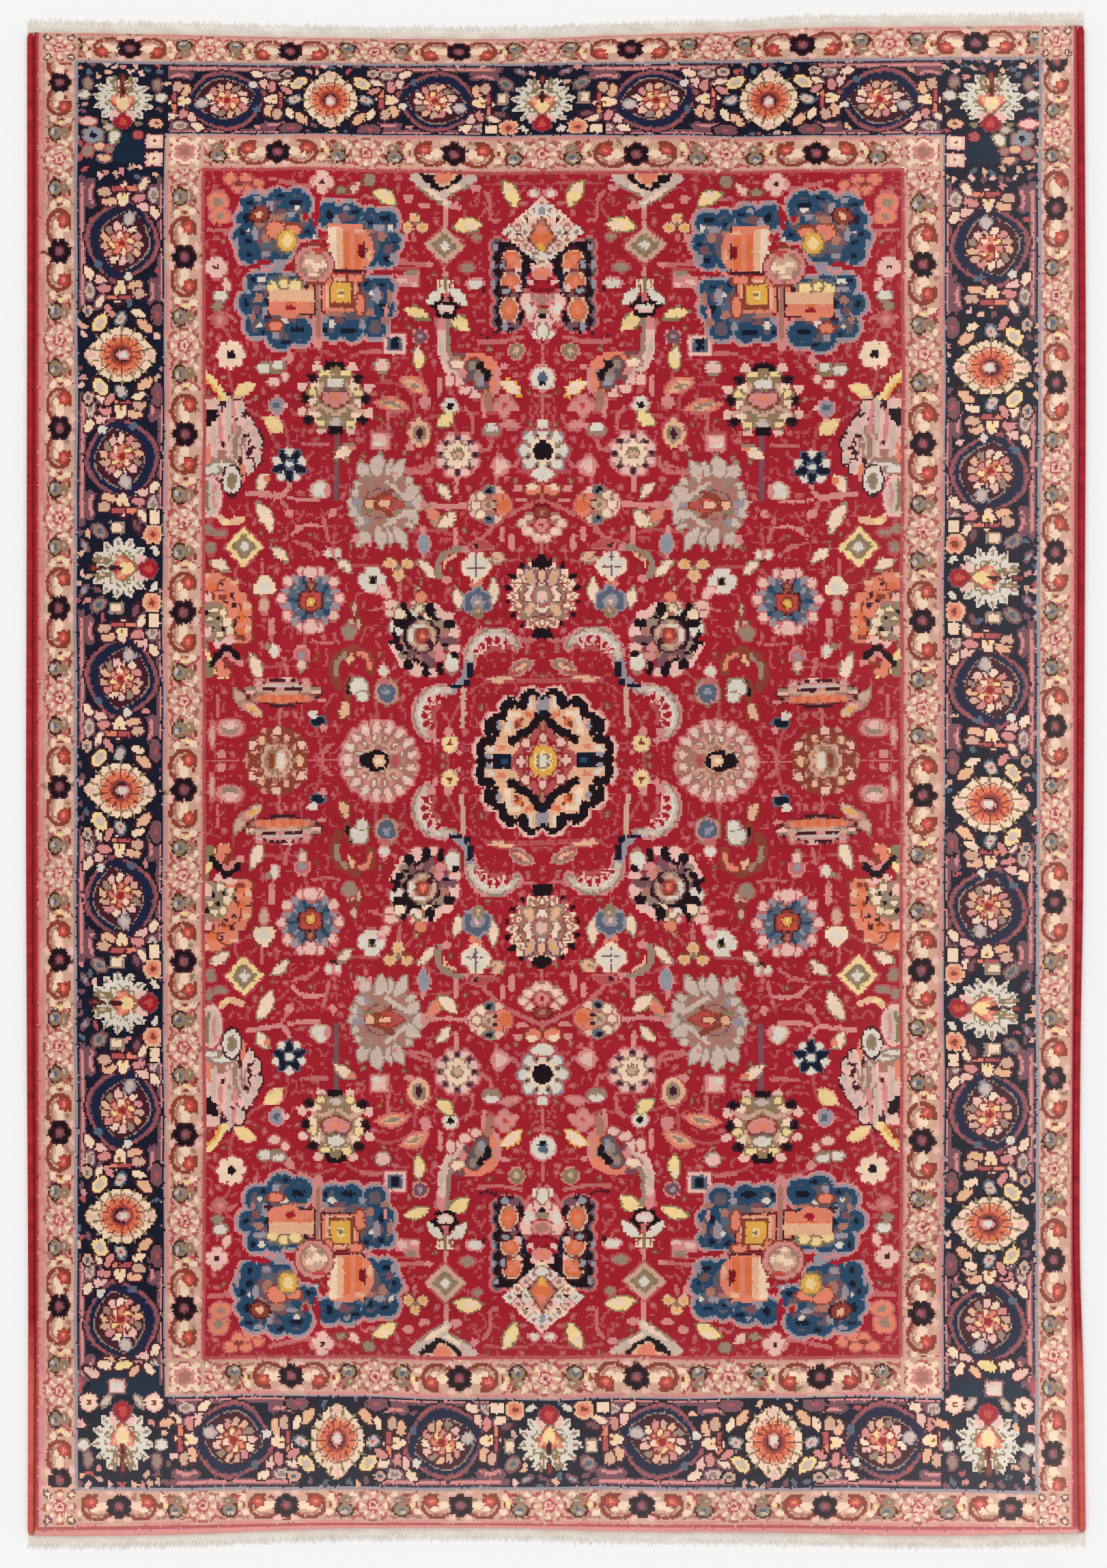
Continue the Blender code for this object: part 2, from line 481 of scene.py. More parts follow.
def medallion(hand):
    """The middle medallion: a scalloped black edge about peach and lilac flowers. All but the
    middle is drawn for one quarter."""
    outline = hand.stretched(0.94, 1.0).at(0, 0, 11.25)
    outline.lay(lobed(16, 118, 140), rose=8, pale_pink=5, black=0, peach=-19)
    hand.lay(diamond(68, 80), rosewood=0)
    spots(
        hand, black=[(31, 106, 7, 17), (74, 86, 14, 8), (90, 60, 8, 14), (106, 34, 14, 7)],
        lilac=[(6, 108, 7, 14), (104, 14, 9, 7), (84, 66, 6, 8)],
    )
    stems(
        hand, peach=(13, [(18, 118), (19, 104), (34, 92), (50, 78), (60, 62)]),
        cream=(11, [(46, 92), (62, 88), (66, 72), (68, 54)]),
    )
    stems(
        hand, peach=(14, [(68, 46), (72, 32), (90, 24), (106, 22)]),
        ivory=(6, [(22, 120), (22, 106)], [(62, 84), (64, 70)], [(96, 24), (108, 20)]),
    )
    spots(
        hand, orange=[(47, 74, 9), (29, 92, 5, 6)], rust=[(50, 70, 5, 6), (38, 84, 4)],
        salmon=[(80, 26, 9, 4), (20, 88, 5, 8)],
    )
    stems(
        hand, black=(16, [(9, 84), (14, 72), (26, 62), (40, 53), (60, 40)]),
        rust=(15, [(0, 26), (0, 66)]), clay=(8, [(0, 30), (0, 74)]),
    )
    blocks(hand, navy=[(78, 0, 17, 13), (0, 92, 6, 7)], teal=[(74, 2, 6, 5)], black=[(108, 0, 20, 5)])
    hand.lay(lobed(8, 34, 46), crimson=0, rose=-6)
    spots(hand, pale_pink=[(33, 34, 9), (42, 0, 9), (0, 46, 8)], edge="rust")
    spots(hand, crimson=[(30, 14, 6), (14, 34, 6)])
    hand.lay(lobed(8, 25, 30, wide=0.9), rust=2, gold=0, butter=-9, olive=-14, ivory=-19)


def cloud_crescent(hand):
    """A white cloud band with a toothed inner side, its clasp at the left end."""
    hand.lay(arc(50, -96, 52, 24, taper=0.55), rose=6, taupe=2, stone=-2)
    hand.lay(arc(38, -66, 46, 12, taper=0.4), rosewood=0)
    for angle in (-62, -40, -18, 4, 26):
        hand.at(0, 0, angle).at(0, 32).lay(leaf(17, 9), pale_pink=2, crimson=0)
    hand.lay(arc(51, -70, 30, 6, taper=0.4), ivory=0)
    hand.lay(arc(24, -60, 40, 8), rosewood=0)


def serrated_palmette(hand):
    """The tan palmette above the medallion, capped with black."""
    hand.lay(lobed(16, 52, 68, wide=0.98, sharp=0.7), rosewood=3, cream=0, olive=-6, tan=-10)
    hand.ring(16, 60, leaf(14, 8), first=11.25, black=0)
    hand.ring(16, 46, oval(6, 10), clay=2, cream=-1)
    hand.lay(lobed(12, 36, 42, sharp=0.3), rust=2, clay=0, olive=-4)
    hand.lay(lobed(8, 26, 34), mauve=2, cream=0, ivory=-8)
    hand.pair(22, 36, oval(9, 17), turn=25, mauve=2, tan=0, gold=-6)
    hand.pair(24, -26, oval(8, 14), turn=150, taupe=2, peach=0)
    hand.lay(oval(18), rosewood=2, taupe=0, pale_pink=-7)
    hand.at(0, 26).lay(leaf(24, 14), mauve=2, peach=0)
    cap = hand.at(0, 60)
    cap.lay(cloud((0, 10, 9), (-11, 2, 7), (11, 2, 7), (0, 0, 9)), black=0)
    blocks(hand, black=[(0, -76, 18, 6), (0, -68, 9, 5)])
    hand.pair(56, 36, oval(6, 10), turn=60, black=0)


def star_flower(hand):
    """The black flower of many points with an eye, between the medallion and the corners."""
    hand.at(226, 240).lay(oval(46, 44), ash=3, mauve=0)
    spots(
        hand, pale_pink=[(288, 298, 14, 9), (292, 281, 8, 7), (245, 286, 14, 11), (234, 301, 18, 8),
        (168, 246, 10, 17), (167, 215, 11, 8), (210, 171, 10, 9), (240, 177, 17, 13)], edge="rosewood",
    )
    stems(
        hand, pale_pink=(16, [(204, 292), (192, 282), (178, 276)],
        [(286, 222), (276, 206), (268, 188)]),
    )
    spots(hand, ivory=[(172, 188, 13, 19), (279, 254, 13, 15), (246, 285, 9, 7)], edge="clay")
    spots(hand, cream=[(272, 279, 9, 14), (219, 275, 9, 8), (236, 292, 8, 5)], edge="olive")
    spots(hand, salmon=[(233, 314, 11)], edge="rust")
    spots(
        hand, taupe=[(192, 256, 18, 15), (262, 222, 12, 11), (266, 204, 9), (214, 262, 12, 7)],
        mauve=[(182, 230, 18, 10), (236, 202, 22, 12), (214, 188, 8, 9)],
        rose=[(204, 214, 14, 15), (196, 200, 11, 7), (220, 252, 8, 7)],
        clay=[(190, 245, 12, 10), (210, 206, 10, 7), (240, 196, 12, 6)],
    )
    stems(hand, black=(9, [(284, 244), (280, 230), (276, 216)], [(244, 196), (230, 186), (222, 182)]))
    stems(
        hand, black=(10, [(266, 296), (256, 280), (250, 270)], [(284, 270), (268, 262), (256, 258)],
        [(264, 262), (262, 248), (262, 232)], [(290, 224), (280, 229), (276, 234)],
        [(214, 298), (216, 286)], [(250, 272), (236, 274), (228, 272)]),
    )
    spots(
        hand, black=[(248, 269, 13, 10), (215, 289, 10, 13), (178, 260, 12, 9), (195, 177, 7, 12),
        (222, 174, 9, 12), (256, 186, 10, 11), (167, 204, 8, 7), (203, 273, 7, 6), (254, 222, 8),
        (262, 206, 6), (271, 215, 5, 6), (202, 250, 7, 10), (270, 262, 14, 7), (186, 222, 8, 6)],
    )
    hand.at(230, 240).lay(oval(29), maroon=2, taupe=0, tan=-4, clay=-11, rust=-15)
    spots(
        hand, ivory=[(251, 240, 5, 12), (236, 260, 12, 4)], coral=[(229, 239, 9, 10)],
        salmon=[(229, 239, 5, 7)], maroon=[(214, 226, 6, 8)],
    )


def round_palmette(hand):
    """The round cream palmette on the cross axis. Its black leaf points up, away from the
    medallion."""
    hand.lay(lobed(17, 68, 77), rosewood=3, rose=0, clay=-5)
    hand.ring(17, 62, oval(7, 11), pale_pink=0, ivory=-4)
    hand.lay(lobed(12, 43, 50), taupe=2, rose=-1, tan=-9)
    hand.ring(12, 41, oval(6, 10), first=15, clay=1, ivory=-3)
    hand.at(0, -30).lay(oval(13, 12), clay=1, rosewood=-4)
    hand.lay(oval(22, 20), clay=2, peach=0)
    hand.at(0, -20).lay(leaf(60, 40, belly=0.4), black=0)
    hand.at(0, 2).lay(oval(9, 13), peach=0, cream=-4)


def blue_petal_rosette(hand):
    """Grey-blue petals with pink tips around a gold core."""
    hand.lay(lobed(10, 44, 56, wide=0.94, sharp=0.6), rosewood=2, ash=0, steel=-8)
    hand.ring(10, 55, oval(9), first=18, vine=2, pale_pink=0)
    hand.ring(10, 38, leaf(22, 12), lilac=0)
    hand.ring(5, 24, leaf(24, 8), first=18, teal=0)
    hand.ring(5, 26, leaf(16, 6), first=54, blue_grey=0)
    hand.at(0, -52).lay(oval(14, 12), vine=2, pale_pink=0)
    hand.at(0, 50).lay(oval(13, 11), vine=2, pale_pink=0)
    hand.at(0, -2).lay(lobed(6, 20, 24), maroon=1, rust=-1, coral=-5)
    hand.at(0, 18).lay(leaf(20, 18), maroon=2, rust=0, clay=-4)
    hand.at(0, -4).lay(oval(9, 8), rust=2, gold=0, cream=-5)


def feather_palmette(hand):
    """A large grey-white serrated palmette with a flame core that points to the long axis."""
    hand.at(308, 488).lay(oval(62, 66), rosewood=3, taupe=0, clay=-6)
    tips = (
        (330, 536, 352, 568, 24), (318, 536, 312, 584, 26), (296, 540, 290, 572, 14),
        (284, 532, 266, 572, 20), (262, 526, 248, 534, 14), (262, 496, 236, 520, 24),
        (250, 488, 218, 488, 28), (262, 476, 238, 454, 22), (264, 452, 244, 444, 13),
        (284, 444, 260, 404, 20), (296, 440, 290, 408, 14), (316, 444, 308, 402, 24),
        (336, 440, 354, 408, 24), (344, 460, 358, 446, 16), (352, 474, 370, 468, 16),
        (350, 492, 374, 492, 22), (350, 508, 366, 512, 18), (346, 524, 360, 530, 14),
    )
    leaves(hand, stone=tips)
    spots(
        hand, lilac=[(354, 491, 11, 9), (350, 474, 5, 6), (338, 452, 5, 8), (260, 488, 12, 3)],
        rose=[(356, 420, 8, 9), (226, 488, 9, 12), (282, 546, 5, 6), (330, 412, 5, 7)],
    )
    stems(
        hand, taupe=(8, [(338, 540), (326, 520), (330, 500)], [(338, 438), (328, 458), (334, 476)]),
        stone=(9, [(298, 530), (276, 512), (258, 498)], [(300, 446), (276, 462), (256, 476)]),
    )
    stems(hand, taupe=(5, [(304, 522), (284, 506), (264, 494)], [(304, 454), (284, 466), (264, 480)]))
    hand.at(312, 488).lay(oval(26, 27), mauve=2, clay=0)
    stems(hand, rust=(10, [(322, 496), (306, 504), (288, 514)], [(322, 480), (304, 476), (290, 466)]))
    hand.at(318, 488, -90).lay(leaf(52, 28, belly=0.4), rust=2, coral=0)
    spots(hand, peach=[(302, 488, 11, 6), (331, 489, 9, 8)], edge="rust")
    spots(hand, olive=[(334, 474, 12, 5)], rosewood=[(280, 487, 7, 8)])


def olive_palmette(hand):
    """Olive and cream petals round a pink core, set about with dark dots."""
    hand.lay(cloud((0, 4, 50), (0, -34, 26), (0, 46, 26)), rosewood=3, olive=0)
    for side in hand.both():
        spots(side, pale_pink=[(64, 24, 10, 8), (64, -24, 9, 10), (28, -58, 9, 8), (34, 62, 10, 8)])
        spots(
            side, cream=[(38, 28, 9, 14), (46, -2, 10), (42, -30, 13, 8), (14, 46, 12, 8)], edge="clay",
        )
        stems(side, tan=(8, [(52, -24), (28, -14), (4, -26)], [(24, 32), (28, 10), (12, -8)]))
        spots(side, black=[(44, 42, 8, 6), (58, 2, 6, 8), (52, -38, 8, 6)], edge="maroon")
        spots(side, butter=[(20, 50, 10, 6), (44, 14, 8, 7), (28, -44, 8, 7)], edge="olive")
    hand.at(0, 4).lay(oval(26, 16), rust=3, rose=0, salmon=-8)
    hand.at(0, 20).lay(oval(20, 6), mauve=0)
    hand.at(0, 32).lay(oval(16, 9), olive=3, ivory=0)
    hand.at(0, -42).lay(oval(18, 9), taupe=0, stone=-3)
    blocks(hand, black=[(0, -58, 14, 7), (0, 68, 15, 5)])
    spots(hand, black=[(15, 62, 6, 8), (-15, 62, 6, 8)])


def dark_star(hand):
    hand.lay(oval(26), vine=0, rosewood=-2)
    hand.ring(5, 24, oval(9), first=36, rosewood=2, ivory=0)
    hand.lay(lobed(5, 12, 34, sharp=1.0), steel=3, navy=0)
    hand.lay(oval(8), steel=2, ivory=0)


def eye_diamond(hand, ground="gold"):
    """A diamond with an eye: the yellow ones of the field's sides and the peach ones above."""
    coats = {ground: 0, "olive": -9, "taupe": -14, "ivory": -19}
    hand.lay(diamond(39, 37), rosewood=2, **coats)


def dotted_rosette(hand):
    """A pale rosette with a ring of dark dots."""
    hand.ring(8, 34, oval(12), first=22.5, rosewood=2, rose=0, pale_pink=-4)
    hand.ring(8, 33, oval(7), mauve=0, maroon=-3)
    hand.lay(lobed(8, 20, 26), taupe=1, cream=-1, olive=-12, tan=-17)


def axis_rosette(hand):
    """The grey-white flower with a black eye on the long axis."""
    hand.ring(8, 32, oval(14, 17), rosewood=2, blue_grey=0, ivory=-3)
    hand.ring(8, 31, oval(4, 7), first=22.5, taupe=1, maroon=-2)
    hand.lay(lobed(8, 16, 20), cream=6, black=0)
    spots(hand, ivory=[(0, 50, 11, 9), (0, -46, 22, 11)], edge="rosewood")


def pomegranate(hand):
    """Cream petals to one side and orange to the other, towards the hand's right."""
    hand.lay(cloud((-12, 0, 30), (4, 0, 34), (16, 0, 24)), rosewood=2, pale_pink=0, rose=-8)
    hand.ring(8, 27, oval(9, 10), first=180, clay=1.5, cream=-1)
    spots(hand, salmon=[(24, 0, 18, 20), (12, 12, 10)], edge="rosewood")
    spots(hand, orange=[(27, -2, 11, 13)])
    spots(hand, steel=[(-2, 27, 10, 8), (-2, -27, 9, 8)], edge="taupe")
    spots(hand, black=[(-3, 28, 6, 5), (-3, -26, 6, 5)], pale_pink=[(16, 27, 8, 6), (16, -26, 8, 6)])
    hand.at(-4, 0).lay(oval(14, 13), clay=1, tan=-2, olive=-8)
    spots(hand, maroon=[(8, 8, 4), (8, -8, 4)])


def half_wing(hand):
    """A curved half palmette: a white band outside, a salmon one inside, round a grey and black
    core."""
    stems(
        hand, salmon=(22, [(150, 768), (124, 770), (100, 758), (92, 738), (92, 716), (104, 698)]),
        clay=(16, [(104, 700), (103, 688), (102, 674)]),
        rose=(9, [(86, 744), (84, 724), (88, 704)], [(72, 752), (88, 746)]),
        rust=(7, [(166, 780), (150, 762), (138, 738), (124, 714)]),
    )
    stems(
        hand, rose=(18, [(192, 838), (193, 812)]),
        pale_pink=(20, [(192, 812), (193, 800), (188, 768), (174, 740), (152, 714), (130, 700)]),
    )
    spots(hand, pale_pink=[(178, 726, 9, 12), (149, 709, 11, 9), (128, 700, 11, 8)], edge="rosewood")
    stems(
        hand, stone=(9, [(196, 804), (190, 770), (172, 748), (150, 728)]),
        taupe=(9, [(182, 838), (182, 806), (180, 780), (168, 764)]),
    )
    spots(hand, cream=[(164, 759, 13, 8)], edge="clay")
    spots(hand, rose=[(152, 742, 10, 12)], mauve=[(158, 776, 10, 6), (148, 728, 6, 7)])
    hand.lay(cloud((132, 754, 14), (124, 738, 16), (118, 720, 13), (112, 736, 12)), rust=3, ash=0)
    spots(
        hand, taupe=[(134, 754, 7, 10), (122, 732, 9, 14), (100, 738, 4, 10)],
        lilac=[(118, 724, 6, 12)], black=[(119, 755, 8), (106, 737, 7, 13), (112, 746, 6)],
    )


def axis_group(hand):
    """The dotted diamond over two black columns of flowers, at each end of the field."""
    columns = cloud(
        *((x, q, 10) for q in range(836, 992, 13) for x in (52, 64, 76)),
        *((84, q, 9) for q in (840, 862, 896, 934, 960, 984)),
        *((40, q, 9) for q in (846, 864, 886, 912, 940, 962)),
    )
    hand.lay(columns, vine=9, ash=4, black=0)
    spots(hand, lilac=[(93, 947, 5, 8), (93, 911, 5, 8), (88, 982, 6)])
    stems(
        hand, black=(13, [(74, 986), (50, 980), (38, 964), (16, 953), (6, 953)],
        [(30, 956), (26, 934)]),
    )
    stems(
        hand, black=(7, [(82, 826), (70, 821), (58, 822)]),
        maroon=(6, [(88, 816), (102, 811), (120, 812)]),
        vine=(8, [(36, 838), (20, 818), (6, 800)], [(122, 802), (84, 800), (40, 808)]),
    )
    spots(hand, navy=[(34, 916, 7, 16)])
    for x, q, wide, high in ((58, 957, 19, 19), (60, 914, 19, 19), (64, 861, 17, 25)):
        hand.at(x, q).lay(oval(wide, high), maroon=2, peach=0, clay=-3, orange=-5, salmon=-12)
    spots(hand, salmon=[(46, 946, 7, 8), (66, 906, 7, 8)], rust=[(62, 936, 8, 4), (56, 896, 4, 5)])
    spots(hand, blue_grey=[(74, 945, 5, 9), (70, 897, 8, 5), (73, 829, 8, 6)], edge="maroon")
    spots(hand, pale_pink=[(46, 903, 7, 8), (44, 936, 6)], mauve=[(54, 832, 10, 6), (54, 888, 8, 4)])

    spots(hand, pale_pink=[(26, 876, 15, 18), (20, 852, 12, 16), (0, 838, 16, 18)], edge="rosewood")
    spots(hand, ivory=[(26, 862, 8, 12), (12, 814, 9, 8)])
    hand.at(0, 880).lay(oval(20, 14), rose=0, clay=-5)
    spots(hand, taupe=[(0, 858, 13, 7), (20, 884, 4, 5), (0, 880, 5)], black=[(0, 847, 8, 4)])
    spots(hand, ivory=[(0, 820, 11, 14)], edge="clay")
    hand.at(0, 906).lay(oval(24, 8), deep_red=2, crimson=0)
    spots(hand, pale_pink=[(13, 940, 9, 8), (22, 914, 7, 5)])
    hand.at(0, 930).lay(oval(20, 12), rose=0, salmon=-4)

    hand.at(0, 1010).lay(diamond(72, 64), rosewood=3, rose=0, clay=-4)
    for i in range(-2, 3):
        for j in range(-2, 3):
            x, y = (i + j) * 15.5, 1010 + (i - j) * 14
            if x > -10 and (i, j) != (0, 0):
                hand.at(x, y).lay(diamond(14, 13), **{("ivory", "pale_pink", "cream")[(i - j) % 3]: 0})
                hand.at(x, y).lay(oval(4.5), **{("taupe", "clay")[(i + j) % 2]: 0})
    spots(hand, maroon=[(43, 1007, 4, 3), (28, 1031, 3), (25, 996, 3)])
    hand.at(0, 1000).lay(diamond(24, 36), rust=3, clay=0, orange=-4)
    spots(hand, salmon=[(0, 1012, 10, 8)], gold=[(0, 982, 8)])
    spots(hand, ivory=[(0, 962, 12, 8)], edge="taupe")
    spots(hand, blue_grey=[(0, 1050, 8)], edge="ivory")


def corner_cluster(hand):
    """Four lobed groups in navy, grey and lilac about the corner of the field, with orange
    tulips between them."""
    groups = (
        cloud(
            (470, 1054, 28), (508, 1062, 20), (550, 1052, 24), (570, 1028, 16), (570, 994, 22),
            (562, 964, 20), (516, 1004, 48), (456, 1012, 22), (530, 962, 22), (500, 968, 20),
        ),
        cloud(
            (408, 1036, 24), (370, 1038, 22), (328, 1032, 18), (298, 1026, 22), (288, 988, 18),
            (300, 960, 20), (345, 985, 46), (330, 954, 16),
        ),
        cloud(
            (545, 904, 22), (564, 868, 20), (546, 826, 24), (502, 806, 26), (466, 812, 24),
            (500, 862, 44), (460, 880, 20), (514, 904, 22), (482, 902, 18),
        ),
        cloud(
            (402, 822, 22), (366, 818, 20), (322, 824, 22), (306, 862, 22), (318, 898, 20),
            (362, 870, 44), (400, 888, 24), (300, 900, 16), (342, 902, 18),
        ),
    )
    for group in groups:
        hand.lay(group, rose=9, lilac=5, teal=0, ash=-10)
    navy = (
        (562, 1060, 17, 8), (500, 1071, 17, 8), (472, 1058, 26, 11), (566, 1030, 11, 20),
        (575, 1002, 9, 15), (564, 986, 12, 13), (562, 960, 11, 12), (448, 1002, 14, 10),
        (407, 1036, 13, 18), (358, 1044, 16, 8), (330, 1024, 11, 8), (300, 1031, 20, 8),
        (284, 984, 8, 13), (298, 955, 16, 10), (556, 912, 11, 12), (569, 868, 10, 12),
        (470, 816, 26, 16), (373, 816, 27, 13), (338, 908, 9, 11), (308, 904, 10, 11),
        (306, 862, 16, 15), (492, 792, 16, 7), (417, 818, 8, 10), (536, 812, 12, 8), (530, 870, 8, 9),
    )
    spots(
        hand, teal=[(x, y, wide + 1, high + 1) for x, y, wide, high in navy],
        navy=[(x, y, wide * 0.5, high * 0.5) for x, y, wide, high in navy],
        mauve=[(520, 1048, 12, 8), (544, 1014, 8), (500, 1040, 10, 6), (380, 1032, 10, 8),
        (322, 1002, 12, 10), (294, 972, 8), (528, 888, 10, 8), (548, 856, 8), (484, 836, 12, 5),
        (338, 850, 10, 8), (312, 884, 8), (390, 836, 14, 5), (540, 984, 8)],
        steel=[(536, 1040, 8), (486, 1030, 8, 7), (344, 1020, 12, 8), (300, 1006, 8), (520, 908, 12, 6),
        (540, 840, 8), (330, 868, 8, 10), (346, 838, 10, 6), (528, 975, 10, 6)],
        lilac=[(545, 1068, 10, 5), (522, 1052, 7, 12), (550, 1002, 6, 14), (394, 1022, 7, 12),
        (374, 1050, 7, 5), (312, 1014, 12, 6), (434, 990, 7, 6), (530, 960, 8), (540, 894, 16, 6),
        (502, 940, 10, 12), (512, 806, 8, 7), (345, 828, 8, 6), (318, 884, 9, 16), (286, 956, 5, 10),
        (532, 848, 6, 14), (586, 984, 4, 8), (480, 1036, 12, 5), (416, 838, 6)],
        clay=[(508, 1030, 16, 7), (528, 992, 9, 14), (454, 1030, 11, 9), (306, 998, 9, 10),
        (545, 876, 10, 7), (398, 846, 20, 5), (292, 880, 5, 16), (302, 836, 10, 6), (540, 1018, 8, 6),
        (330, 1006, 10, 6), (556, 840, 6, 8), (330, 850, 8), (470, 838, 18, 4)],
        ivory=[(470, 1049, 6, 5), (290, 1012, 6, 5), (540, 912, 8, 6), (498, 830, 11, 5),
        (404, 829, 8, 6), (542, 826, 5), (436, 991, 4, 3), (562, 1006, 3, 5), (328, 890, 4, 7)],
        crimson=[(454, 1032, 5, 7), (438, 1034, 4, 8), (534, 945, 12, 4)],
    )
    stems(
        hand, crimson=(9, [(600, 934), (560, 938), (526, 943)], [(268, 930), (296, 928), (322, 926)],
        [(428, 1072), (430, 1040), (434, 1016)]), rose=(19, [(433, 912), (431, 860), (431, 790)]),
        clay=(9, [(433, 910), (431, 860), (431, 806)]),
    )
    spots(hand, salmon=[(508, 1006, 20, 16), (512, 824, 14, 8), (476, 1006, 14, 10)], edge="rust")
    hand.at(541, 1036, 20).lay(oval(18, 14), maroon=2, rust=0, peach=-8)
    hand.at(488, 984).lay(oval(18, 19), olive=4, gold=0, butter=-8)

    hand.at(376, 974).lay(box(32, 42), maroon=2, salmon=0)
    for x, dye in ((400, "cream"), (386, "peach"), (374, "orange"), (362, "salmon"), (352, "orange")):
        hand.at(x, 974).lay(box(6, 40), **{dye: 0})
    spots(hand, cream=[(402, 1004, 9), (405, 986, 8), (405, 966, 8, 9), (400, 948, 8)])
    stems(hand, salmon=(15, [(376, 1014), (350, 1008), (334, 992), (330, 968), (338, 946)]))
    spots(hand, deep_red=[(346, 970, 7, 12)], peach=[(330, 962, 5, 12), (350, 1006, 10, 5)])

    hand.at(482, 874).lay(box(42, 26), maroon=2, salmon=0)
    spots(hand, butter=[(516, 896, 12, 10), (496, 904, 11, 9), (474, 900, 12, 9)], edge="olive")
    blocks(hand, peach=[(482, 880, 42, 14)], orange=[(482, 866, 40, 3)])
    spots(
        hand, salmon=[(508, 856, 20, 14), (460, 858, 20, 11), (486, 846, 18, 8)],
        crimson=[(484, 857, 10, 6)], maroon=[(526, 842, 8, 4), (454, 898, 5, 6)],
    )

    square = hand.at(387, 887)
    square.lay(box(34, 34), maroon=2, salmon=0, peach=-4)
    square.lay(box(24, 25), rust=0, gold=-4, butter=-17)
    square.lay(oval(5), olive=0)
    spots(hand, salmon=[(412, 912, 9), (358, 918, 14, 8), (350, 866, 9, 18)], edge="rust")

    hand.at(438, 940).lay(oval(37, 36), rust=2, rose=0, clay=-8, tan=-13)
    spots(
        hand, cream=[(446, 944, 9, 8), (432, 936, 8, 9), (440, 920, 8, 5), (418, 940, 5, 8)],
        taupe=[(426, 926, 6, 5), (456, 928, 5, 6)], coral=[(428, 966, 14, 5)],
    )


def side_palmette(hand):
    """The pink and white serrated palmette that the side guard cuts off."""
    hand.at(640, 600).lay(oval(84, 88), rosewood=3, pale_pink=0)
    spots(
        hand, pale_pink=[(584, 664, 12, 20), (572, 640, 14, 16), (560, 622, 13, 15), (550, 602, 12, 16),
        (552, 576, 12, 16), (562, 558, 10, 13), (606, 672, 12, 22), (612, 640, 5, 34)], edge="maroon",
    )
    spots(
        hand, stone=[(580, 664, 6, 12), (566, 640, 8), (554, 622, 7, 8), (545, 600, 6, 9),
        (548, 574, 6, 9), (560, 556, 5, 7), (600, 676, 5, 14), (624, 664, 5, 16)],
        clay=[(590, 600, 20, 32), (616, 575, 20, 14), (600, 625, 14)],
    )
    stems(
        hand, pale_pink=(7, [(612, 630), (606, 604), (606, 576)], [(570, 616), (572, 596), (574, 566)]),
        stone=(6, [(574, 632), (584, 600), (580, 574)], [(588, 640), (598, 604), (596, 572)]),
        taupe=(4, [(581, 636), (591, 602), (588, 572)], [(566, 622), (573, 600), (568, 580)]),
    )
    spots(hand, maroon=[(569, 616, 6, 5), (563, 584, 5, 6), (580, 568, 4, 10), (575, 655, 4)])
    stems(
        hand, rose=(8, [(596, 680), (592, 650), (590, 620)], [(620, 664), (620, 640), (618, 610)]),
        stone=(8, [(604, 678), (604, 650), (602, 620)], [(632, 636), (632, 610), (628, 580)]),
        salmon=(9, [(640, 600), (642, 580), (640, 560)], [(576, 560), (574, 540), (580, 522)]),
    )
    spots(hand, ivory=[(616, 561, 22, 7), (636, 552, 16, 6)], edge="taupe")
    blocks(hand, black=[(637, 654, 10, 11), (630, 662, 6, 6), (646, 640, 8, 7)])
    stems(
        hand, butter=(15, [(652, 734), (634, 722), (622, 702), (612, 688)]),
        gold=(6, [(648, 724), (630, 708), (620, 690)]),
    )
    hand.at(636, 500).lay(oval(22, 40), rosewood=2, pale_pink=0, stone=-5)
    stems(
        hand, olive=(7, [(642, 530), (644, 500), (640, 478)]),
        rose=(6, [(628, 526), (630, 500), (628, 484)]),
    )
    hand.at(596, 532).lay(oval(17, 27), maroon=3, ivory=0, taupe=-7, olive=-11)


